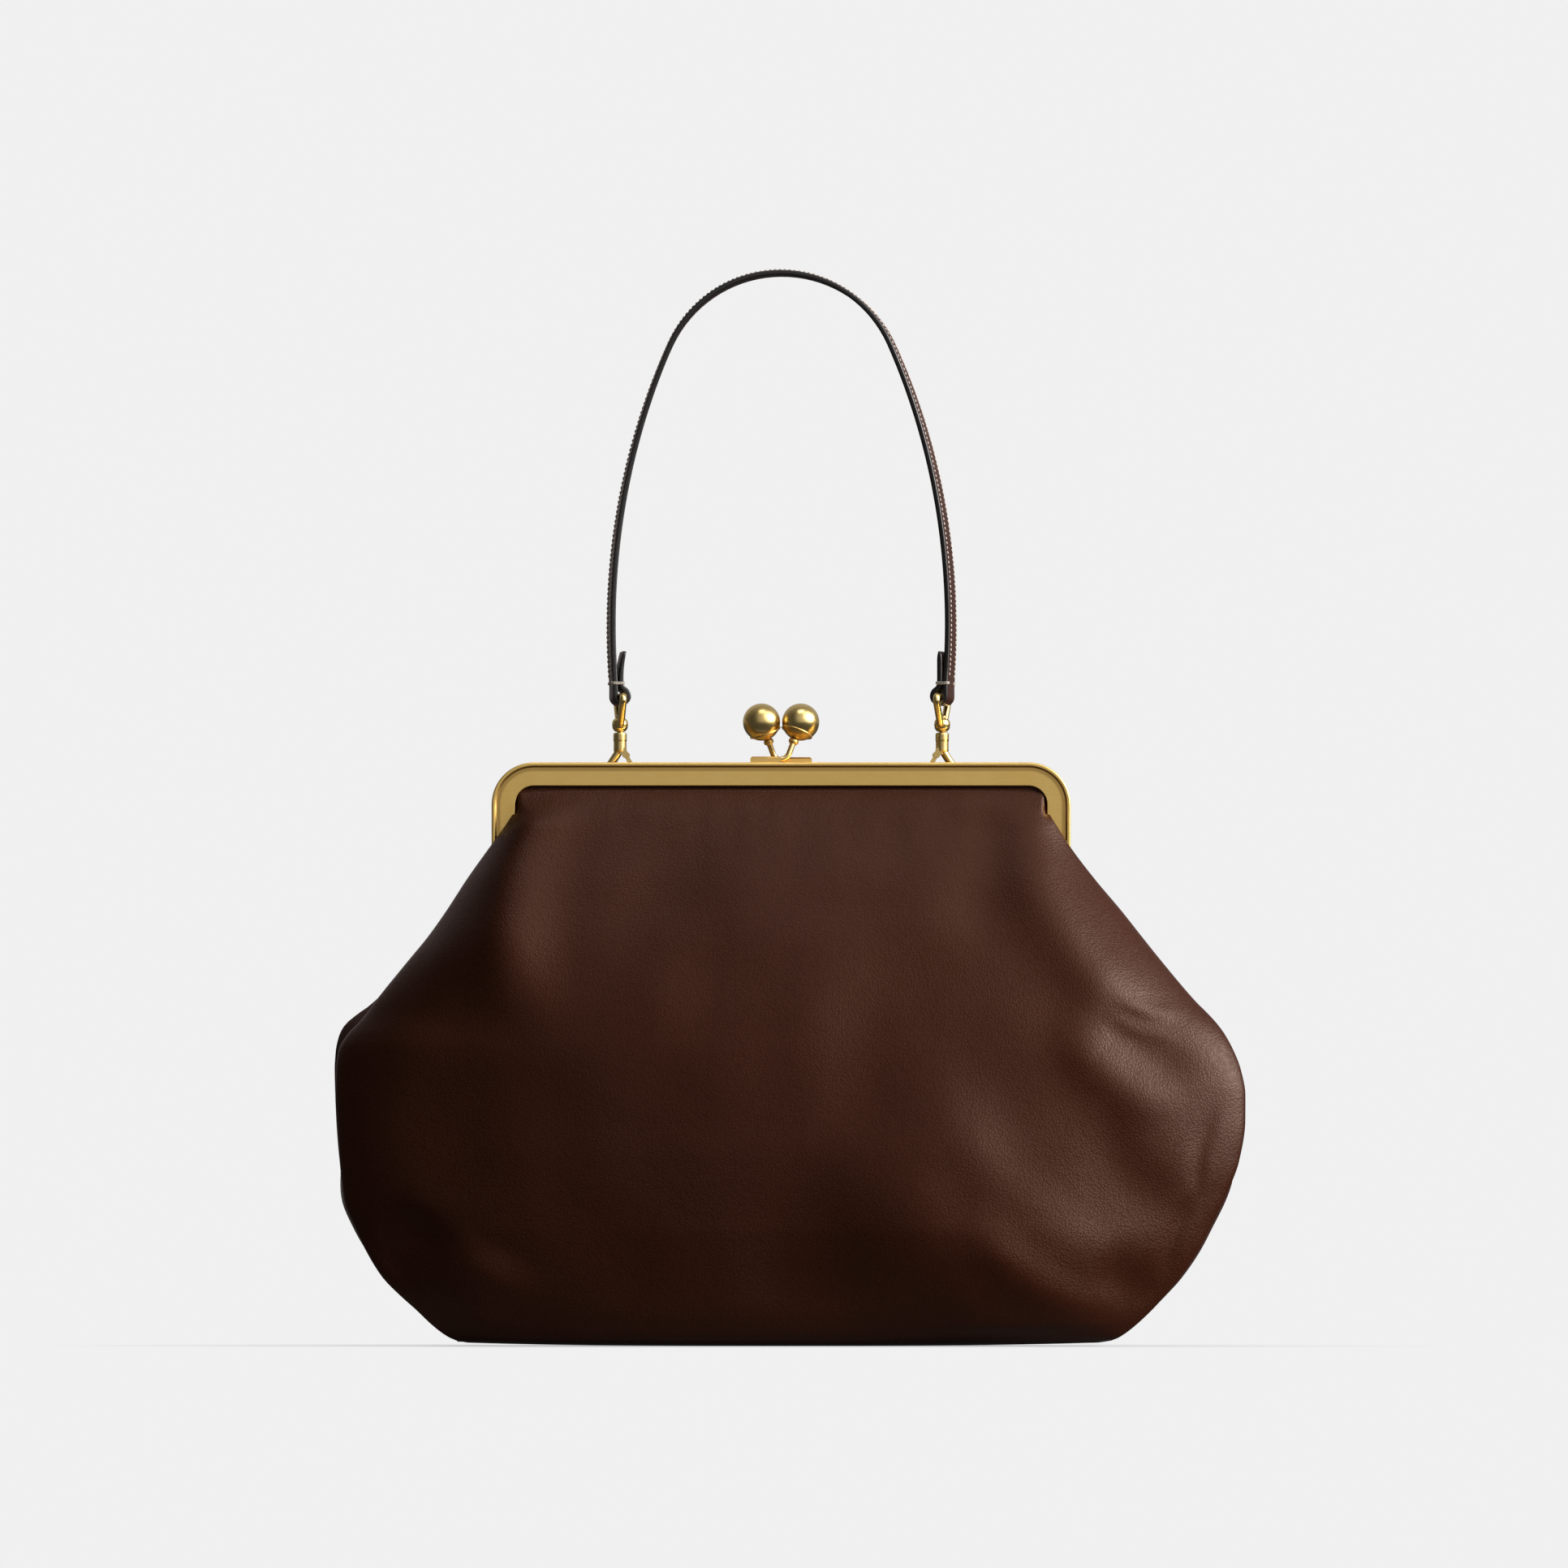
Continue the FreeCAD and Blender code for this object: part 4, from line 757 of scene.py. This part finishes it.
HOOK_X = 61.4
HANDLE_Y = 10.35
BAR_HEIGHT = 247.19
BAR_RADIUS = 1.35
STRAP_WIDTH = 11.0
STRAP_THICKNESS = 2.0
STRAP_PLAY = 0.15
EDGE_ROUND = 0.55
STRAP_SPAN = 62.5
STRAP_CROWN = 409.0
STRAP_SIDE = 285.0
CROWN_RADIUS = 46.0
TAIL_BEND = 3.0
TAIL_LENGTH = 12.0
TAIL_STEPS = 8
TAIL_FLARE = 1.5
TAIL_SKIVE = 0.45
TAIL_ROUND = 0.5
TAIL_ROUND_STEPS = 2
FOLD_STEPS = 18
ARCH_STEPS = 60
CORNER_STEPS = 4
LEFT_TURN = 9.0
RIGHT_TURN = -16.0
STITCH_INSET = 2.0
STITCH_SPACING = 1.85
STITCH_LENGTH = 1.25
STITCH_WIDTH = 0.75
STITCH_SIDES = 8
STITCH_RINGS = 6
STITCH_LIFT = STITCH_WIDTH / 8
THREAD_RADIUS = 0.27
THREAD_TURNS = 2
LOOP_STEPS = 32
LOOP_SLANT = 0.15
LOOP_SQUARENESS = 8
TUBE_SIDES = 8
FOLD_RADIUS = BAR_RADIUS + STRAP_PLAY + STRAP_THICKNESS / 2
TAIL_LEAN = math.acos(1 - (2 * FOLD_RADIUS - STRAP_THICKNESS - STRAP_PLAY) / (2 * TAIL_BEND))
TAIL_RISE = 2 * TAIL_BEND * math.sin(TAIL_LEAN)
FOLD_TOP = BAR_HEIGHT + TAIL_RISE


def strap_arch(steps):
    """Half of the arch, from the right fold's top to the crown, as (x, z)."""
    rise = STRAP_CROWN - STRAP_SIDE
    below = rise - CROWN_RADIUS
    side_radius = (STRAP_SPAN**2 + below**2 - CROWN_RADIUS**2) / (2 * (STRAP_SPAN - CROWN_RADIUS))
    side_x = STRAP_SPAN - side_radius
    low = -math.asin((STRAP_SIDE - FOLD_TOP) / side_radius)
    joint = math.atan2(below, -side_x)
    side_run = side_radius * (joint - low)
    whole = side_run + CROWN_RADIUS * (math.pi / 2 - joint)
    points = []
    for i in range(steps + 1):
        run = whole * i / steps
        if run <= side_run:
            angle = low + run / side_radius
            centre_x, centre_z, radius = side_x, STRAP_SIDE, side_radius
        else:
            angle = joint + (run - side_run) / CROWN_RADIUS
            centre_x, centre_z, radius = 0, STRAP_CROWN - CROWN_RADIUS, CROWN_RADIUS
        points.append((centre_x + radius * math.cos(angle), centre_z + radius * math.sin(angle)))
    return points


def strap_fold(flare):
    """The fold and tail as (outward, up) from the bar's centre. The tail's end stands off by flare."""
    points = [(FOLD_RADIUS, TAIL_RISE * share) for share in (0.75, 0.5, 0.25)]
    for i in range(FOLD_STEPS + 1):
        angle = math.pi * i / FOLD_STEPS
        points.append((FOLD_RADIUS * math.cos(angle), -FOLD_RADIUS * math.sin(angle)))
    for i in range(1, TAIL_STEPS + 1):
        angle = TAIL_LEAN * i / TAIL_STEPS
        points.append((-FOLD_RADIUS + TAIL_BEND * (1 - math.cos(angle)), TAIL_BEND * math.sin(angle)))
    shift = 2 * TAIL_BEND * (1 - math.cos(TAIL_LEAN))
    for i in range(1, TAIL_STEPS + 1):
        angle = TAIL_LEAN * (1 - i / TAIL_STEPS)
        drift = shift - TAIL_BEND * (1 - math.cos(angle))
        points.append((-FOLD_RADIUS + drift, TAIL_RISE - TAIL_BEND * math.sin(angle)))
    for i in range(1, TAIL_STEPS + 1):
        share = i / TAIL_STEPS
        points.append((-FOLD_RADIUS + shift - flare * share**2, TAIL_RISE + TAIL_LENGTH * share))
    return points


def turned(angle, x, y, z):
    """A vector turned about Z by an angle in degrees."""
    c, s = math.cos(math.radians(angle)), math.sin(math.radians(angle))
    return Vector((c * x - s * y, s * x + c * y, z))


def strap_stations():
    """(point, width direction) from the left tail to the right one, and where the arch begins and ends."""

    def fold(side, turn, flare):
        bar = Vector((side * HOOK_X, HANDLE_Y, BAR_HEIGHT))
        across = turned(turn, 0, 1, 0)
        return [(bar + turned(turn, side * out, 0, up), across) for out, up in strap_fold(flare)]

    left = fold(-1, LEFT_TURN, TAIL_FLARE)[::-1]
    right = fold(1, RIGHT_TURN, 0.0)
    half = strap_arch(ARCH_STEPS)
    arch = [(-x, z) for x, z in half] + half[-2::-1]
    stations = []
    for i, (x, z) in enumerate(arch):
        share = i / (len(arch) - 1)
        smooth = share * share * (3 - 2 * share)
        turn = LEFT_TURN * (1 - smooth) + RIGHT_TURN * smooth
        foot = arch[0][0] * (1 - share) + arch[-1][0] * share
        target = left[-1][0].x * (1 - share) + right[0][0].x * share
        shift = (target - foot) * abs(2 * share - 1) ** 2
        stations.append((Vector((x + shift, HANDLE_Y, z)), turned(turn, 0, 1, 0)))
    return left + stations[1:-1] + right, len(left), len(left) + len(stations) - 2


def station_axes(stations, i):
    """(flat, normal) of the strap at a station: across its width, and out of its outer face."""
    last = len(stations) - 1
    along = (stations[min(i + 1, last)][0] - stations[max(i - 1, 0)][0]).normalized()
    across = stations[i][1]
    flat = (across - along * across.dot(along)).normalized()
    return flat, along.cross(flat)


def strap_section():
    """The strap's rounded section as (across, out), counter-clockwise."""
    half, thick, round_radius = STRAP_WIDTH / 2, STRAP_THICKNESS / 2, EDGE_ROUND
    points = []
    for corner_x, corner_y, begin in ((1, 1, 0), (-1, 1, 90), (-1, -1, 180), (1, -1, 270)):
        for step in range(CORNER_STEPS + 1):
            angle = math.radians(begin + 90 * step / CORNER_STEPS)
            x = corner_x * (half - round_radius) + round_radius * math.cos(angle)
            y = corner_y * (thick - round_radius) + round_radius * math.sin(angle)
            points.append((x, y))
    return points


def tail_thinning(stations, i):
    """The left tail is skived thinner towards its end, and the right one is rounded off."""
    from_right = len(stations) - 1 - i
    skived = TAIL_SKIVE * max(0.0, 1 - i / TAIL_STEPS)
    rounded = TAIL_ROUND * max(0.0, 1 - from_right / TAIL_ROUND_STEPS) ** 2
    return 1 - skived - rounded


def strap_piece(stations):
    section = strap_section()
    count = len(section)
    points = []
    for i, (point, _) in enumerate(stations):
        flat, normal = station_axes(stations, i)
        thin = tail_thinning(stations, i)
        points += [point + flat * x + normal * y * thin for x, y in section]
    faces = grid_faces(len(stations), count, wrap=True)
    faces.append(tuple(range(count - 1, -1, -1)))
    faces.append(tuple((len(stations) - 1) * count + j for j in range(count)))
    piece = mesh_piece("sewn_strap", points, faces, STRAP_HIDE)
    piece.data.materials.append(EDGE_PAINT)
    for face in piece.data.polygons:
        spots = [section[v % count] for v in face.vertices]
        middle = sum(x for x, _ in spots) / len(spots)
        on_edge = abs(middle) > STRAP_WIDTH / 2 - EDGE_ROUND
        face.material_index = 1 if on_edge or len(spots) > 4 else 0
    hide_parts("strap")
    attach(piece, "handle")
    return piece


def stitch_tree():
    """Geometry Nodes: a row of short rounded stitches along a curve."""
    inputs = [
        ("Geometry", GEOMETRY, None),
        ("Spacing", FLOAT, STITCH_SPACING * MM),
        ("Stitch length", FLOAT, STITCH_LENGTH * MM),
        ("Thread width", FLOAT, STITCH_WIDTH * MM),
        ("Thread", "NodeSocketMaterial", None),
    ]
    tree, given, result = group_tree("stitch_row", inputs, [("Geometry", GEOMETRY)], "GeometryNodeTree")
    line = {"Curve": given["Geometry"], "Length": given["Spacing"]}
    spread = add_node(tree, "GeometryNodeCurveToPoints", line, mode="LENGTH").outputs
    ball = {"Segments": STITCH_SIDES, "Rings": STITCH_RINGS, "Radius": 0.5}
    stitch = add_node(tree, "GeometryNodeMeshUVSphere", ball).outputs["Mesh"]
    width = given["Thread width"]
    form = add_node(tree, "ShaderNodeCombineXYZ", {"X": width, "Y": width, "Z": given["Stitch length"]})
    row = {
        "Points": spread["Points"],
        "Instance": stitch,
        "Rotation": spread["Rotation"],
        "Scale": form.outputs["Vector"],
    }
    sewn = add_node(tree, "GeometryNodeInstanceOnPoints", row).outputs["Instances"]
    for kind in ("GeometryNodeRealizeInstances", "GeometryNodeSetShadeSmooth"):
        sewn = add_node(tree, kind, {"Geometry": sewn}).outputs["Geometry"]
    painted = add_node(tree, "GeometryNodeSetMaterial", {"Geometry": sewn, "Material": given["Thread"]})
    fill(tree, result, {"Geometry": painted.outputs["Geometry"]})
    return tree


def stitched_rows(name, rows, tree, material, spacing, length, width):
    """Sews rows, each a list of points in millimetres, and returns them as one plain mesh piece."""
    curve = bpy.data.curves.new(name, "CURVE")
    curve.dimensions = "3D"
    for row in rows:
        spline = curve.splines.new("POLY")
        spline.points.add(len(row) - 1)
        for spot, point in zip(spline.points, row):
            spot.co = (*(p * MM for p in point), 1.0)
    path = bpy.data.objects.new(f"{name}_path", curve)
    bpy.context.scene.collection.objects.link(path)
    sewing = path.modifiers.new("stitches", "NODES")
    sewing.node_group = tree
    values = {
        "Spacing": spacing * MM,
        "Stitch length": length * MM,
        "Thread width": width * MM,
        "Thread": material,
    }
    for socket in tree.interface.items_tree:
        if socket.in_out == "INPUT" and socket.name in values:
            sewing[socket.identifier] = values[socket.name]
    bpy.context.view_layer.update()
    mesh = bpy.data.meshes.new_from_object(path.evaluated_get(bpy.context.evaluated_depsgraph_get()))
    bpy.data.objects.remove(path)
    piece = bpy.data.objects.new(name, mesh)
    bpy.context.scene.collection.objects.link(piece)
    return piece


def strap_sewing(stations, begin, end, tree):
    rows = []
    for across in (-1, 1):
        row = []
        for i in range(begin, end):
            flat, normal = station_axes(stations, i)
            lift = normal * (STRAP_THICKNESS / 2 + STITCH_LIFT)
            row.append(stations[i][0] + flat * (across * (STRAP_WIDTH / 2 - STITCH_INSET)) + lift)
        rows.append(row)
    sizes = (STITCH_SPACING, STITCH_LENGTH, STITCH_WIDTH)
    seam = stitched_rows("strap_stitches", rows, tree, STRAP_THREAD, *sizes)
    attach(seam, "handle")


def thread_loop(middle, reach, level):
    """A flat loop of thread round one edge of both layers, as points from the bar's centre."""
    loop = []
    for i in range(LOOP_STEPS):
        angle = 2 * math.pi * i / LOOP_STEPS
        c, s = math.cos(angle), math.sin(angle)
        square = (abs(c) ** LOOP_SQUARENESS + abs(s) ** LOOP_SQUARENESS) ** (-1 / LOOP_SQUARENESS)
        x = middle[0] + reach[0] * c * square
        y = middle[1] + reach[1] * s * square
        loop.append(Vector((x, y, level + LOOP_SLANT * s)))
    return loop


def thread_tube(loop):
    """Points and faces of a closed tube along a loop."""
    points, faces = [], []
    up = Vector((0, 0, 1))
    for i, spot in enumerate(loop):
        along = (loop[(i + 1) % len(loop)] - loop[i - 1]).normalized()
        out = along.cross(up).normalized()
        for j in range(TUBE_SIDES):
            angle = 2 * math.pi * j / TUBE_SIDES
            points.append(spot + (out * math.cos(angle) + up * math.sin(angle)) * THREAD_RADIUS)
    for i in range(len(loop)):
        for j in range(TUBE_SIDES):
            k, n = (i + 1) % len(loop), (j + 1) % TUBE_SIDES
            faces.append((i * TUBE_SIDES + j, k * TUBE_SIDES + j, k * TUBE_SIDES + n, i * TUBE_SIDES + n))
    return points, faces


def thread_bar(name, side, turn):
    """Turns of pale thread that hold the tail to the strap at both of its edges, just above the fold."""
    bar = Vector((side * HOOK_X, HANDLE_Y, BAR_HEIGHT))
    outer = FOLD_RADIUS + STRAP_THICKNESS / 2 + THREAD_RADIUS
    inner = outer - 2 * STRAP_THICKNESS - STRAP_PLAY - 2 * THREAD_RADIUS
    edge = STRAP_WIDTH / 2 + THREAD_RADIUS
    half_bite = (edge - STRAP_WIDTH / 2 + STITCH_INSET) / 2
    points, faces = [], []
    for edge_side in (-1, 1):
        for turn_index in range(THREAD_TURNS):
            middle = (side * (outer + inner) / 2, edge_side * (edge - half_bite))
            level = TAIL_RISE - THREAD_RADIUS + 2 * THREAD_RADIUS * turn_index
            loop = thread_loop(middle, ((outer - inner) / 2, half_bite), level)
            tube_points, tube_faces = thread_tube(loop)
            first = len(points)
            points += [bar + turned(turn, *point) for point in tube_points]
            faces += [tuple(first + corner for corner in face) for face in tube_faces]
    piece = mesh_piece(name, points, faces, PALE_THREAD)
    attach(piece, "handle")


def sewn_strap():
    stations, begin, end = strap_stations()
    strap_piece(stations)
    strap_sewing(stations, begin, end, stitch_tree())
    thread_bar("left_thread_bar", -1, LEFT_TURN)
    thread_bar("right_thread_bar", 1, RIGHT_TURN)


# The brass and the other solids that keep their CAD shape


def finish_of(name):
    if name.endswith("_spring"):
        return STEEL
    if "cord" in name:
        return PAPER
    if name == "base_board":
        return BOARD
    if "channel" in name or "clasp_bar" in name:
        return FRAME_BRASS
    return SATIN_BRASS if "cup" in name or "collar" in name else POLISHED_BRASS


def dress_solids():
    for name, solid in nodes.items():
        if solid.hide_render:
            continue
        solid.data.materials.clear()
        solid.data.materials.append(finish_of(name))


# The studio

# Brightness of the background as seen, of the floor as metal mirrors it, and of the room on all else
PAPER_WHITE = 0.871
PAPER_DIM = 0.08
ROOM_LIGHT = 0.13
# Directions of the room's two bright sides, and of a card that only metal mirrors
BRIGHT_SIDE = (0.72, -0.62, 0.28)
BRIGHT_BACK = (0.0, 0.44, 0.32)
GLEAM_SIDE = (0.72, -0.50, 0.48)
GLEAM = 3.5
GLEAM_SPAN = (0.85, 0.96)
# How the room falls off from its bright sides
BRIGHT_SPAN = (0.1, 0.9)
ROOM_DIM = 0.1
# The floor: half its side in millimetres, its grey in bounced light and as seen, and its shadow in metres
FLOOR_HALF = 6000.0
FLOOR_DIM = (0.16, 0.16, 0.16)
FLOOR_PALE = (0.62, 0.62, 0.62)
SHADOW_OVAL = (0.75, 1.0, 1.0)
SHADOW_ZONE = (0.06, 0.22)
SHADOW_MIX = (0.45, 1.0)
# Lamps: name, place, aim, width and height in metres, watts, and whether metal mirrors them
LAMPS = [
    ("key", (2.1, -0.64, 1.1), (0, 0, 0.15), 0.65, 0.7, 76, True),
    ("back", (-1.1, 1.9, 1.3), (0, 0, 0.15), 0.9, 0.9, 46, False),
    ("top", (0.1, -0.75, 2.05), (0, 0, 0.1), 1.0, 0.6, 7, True),
]


def seen_directly(tree):
    """1 for rays from the camera, and for those seen in metal or through glass."""
    path = tree.nodes.new("ShaderNodeLightPath").outputs
    seen = maths(tree, "MAXIMUM", path["Is Camera Ray"], path["Is Glossy Ray"])
    return maths(tree, "MAXIMUM", seen, path["Is Transmission Ray"])


def floor_material():
    """Pale paper that takes the shadow near the bag and runs out into the plain background."""
    material, tree, shader = new_material("studio_paper")
    seen = seen_directly(tree)
    pale = mix_colour(tree, seen, FLOOR_DIM, FLOOR_PALE)
    fill(tree, shader, {"Base Color": pale, "Roughness": 0.95, "Specular IOR Level": 0.0})
    oval = add_node(tree, "ShaderNodeMapping", {"Vector": object_place(tree), "Scale": SHADOW_OVAL})
    away = vector_maths(tree, "LENGTH", oval.outputs["Vector"])["Value"]
    far = maths(tree, "MULTIPLY", span(tree, away, *SHADOW_ZONE, *SHADOW_MIX), seen)
    camera_ray = tree.nodes.new("ShaderNodeLightPath").outputs["Is Camera Ray"]
    tone = mix_colour(tree, camera_ray, (PAPER_DIM,) * 3, (PAPER_WHITE,) * 3)
    glow = add_node(tree, "ShaderNodeEmission", {"Color": tone}).outputs["Emission"]
    layers = {"Fac": far, 1: shader.outputs["BSDF"], 2: glow}
    paper = add_node(tree, "ShaderNodeMixShader", layers).outputs["Shader"]
    fill(tree, tree.nodes["Material Output"], {"Surface": paper})
    return material


def floor():
    half = FLOOR_HALF
    corners = [(-half, -half, 0), (half, -half, 0), (half, half, 0), (-half, half, 0)]
    mesh_piece("floor", corners, [(0, 1, 2, 3)], floor_material(), smooth=False)


def room():
    """Soft light, strongest from the upper right, in front of the plain background."""
    world = bpy.data.worlds.new("studio")
    world.use_nodes = True
    tree = world.node_tree
    place = tree.nodes.new("ShaderNodeTexCoord").outputs["Generated"]
    path = tree.nodes.new("ShaderNodeLightPath").outputs
    toward_side = vector_maths(tree, "DOT_PRODUCT", place, BRIGHT_SIDE)["Value"]
    toward_back = vector_maths(tree, "DOT_PRODUCT", place, BRIGHT_BACK)["Value"]
    toward_card = vector_maths(tree, "DOT_PRODUCT", place, GLEAM_SIDE)["Value"]
    bright = span(tree, maths(tree, "MAXIMUM", toward_side, toward_back), *BRIGHT_SPAN, ROOM_DIM, 1.0)
    glossy = maths(tree, "MAXIMUM", path["Is Glossy Ray"], path["Is Transmission Ray"])
    level = span(tree, glossy, 0.0, 1.0, ROOM_LIGHT, PAPER_WHITE)
    shaded = maths(tree, "MULTIPLY", bright, level)
    card = span(tree, toward_card, *GLEAM_SPAN, 0.0, GLEAM)
    lit = maths(tree, "MULTIPLY_ADD", card, glossy, shaded)
    choice = {"Factor": path["Is Camera Ray"], "A": lit, "B": PAPER_WHITE}
    strength = add_node(tree, "ShaderNodeMix", choice, data_type="FLOAT").outputs["Result"]
    fill(tree, tree.nodes["Background"], {"Color": (1.0, 1.0, 1.0, 1.0), "Strength": strength})
    bpy.context.scene.world = world


def softbox(name, place, target, wide, high, power, mirrored):
    data = bpy.data.lights.new(name, "AREA")
    data.shape = "RECTANGLE"
    data.size = wide
    data.size_y = high
    data.energy = power
    lamp = bpy.data.objects.new(name, data)
    lamp.location = place
    lamp.rotation_euler = (Vector(target) - Vector(place)).to_track_quat("-Z", "Y").to_euler()
    lamp.visible_glossy = mirrored
    bpy.context.scene.collection.objects.link(lamp)


def studio():
    floor()
    room()
    for lamp in LAMPS:
        softbox(*lamp)


# The camera, in metres, and its sensor and lens in millimetres
CAMERA_DISTANCE = 5.0
CAMERA_HEIGHT = 0.02
PICTURE_MIDDLE = 0.2135
PICTURE_SIDE = 0.0011
SENSOR_WIDTH = 36.0
LENS = 302.0


def camera():
    data = bpy.data.cameras.new("camera")
    data.sensor_width = SENSOR_WIDTH
    data.lens = LENS
    view = bpy.data.objects.new("camera", data)
    view.location = (PICTURE_SIDE, -CAMERA_DISTANCE, CAMERA_HEIGHT)
    rise = math.atan2(PICTURE_MIDDLE - CAMERA_HEIGHT, CAMERA_DISTANCE)
    view.rotation_euler = (math.radians(90) + rise, 0, 0)
    bpy.context.scene.collection.objects.link(view)
    bpy.context.scene.camera = view


leather_body()
sewn_strap()
dress_solids()
studio()
camera()
bpy.context.scene.view_settings.view_transform = "Standard"
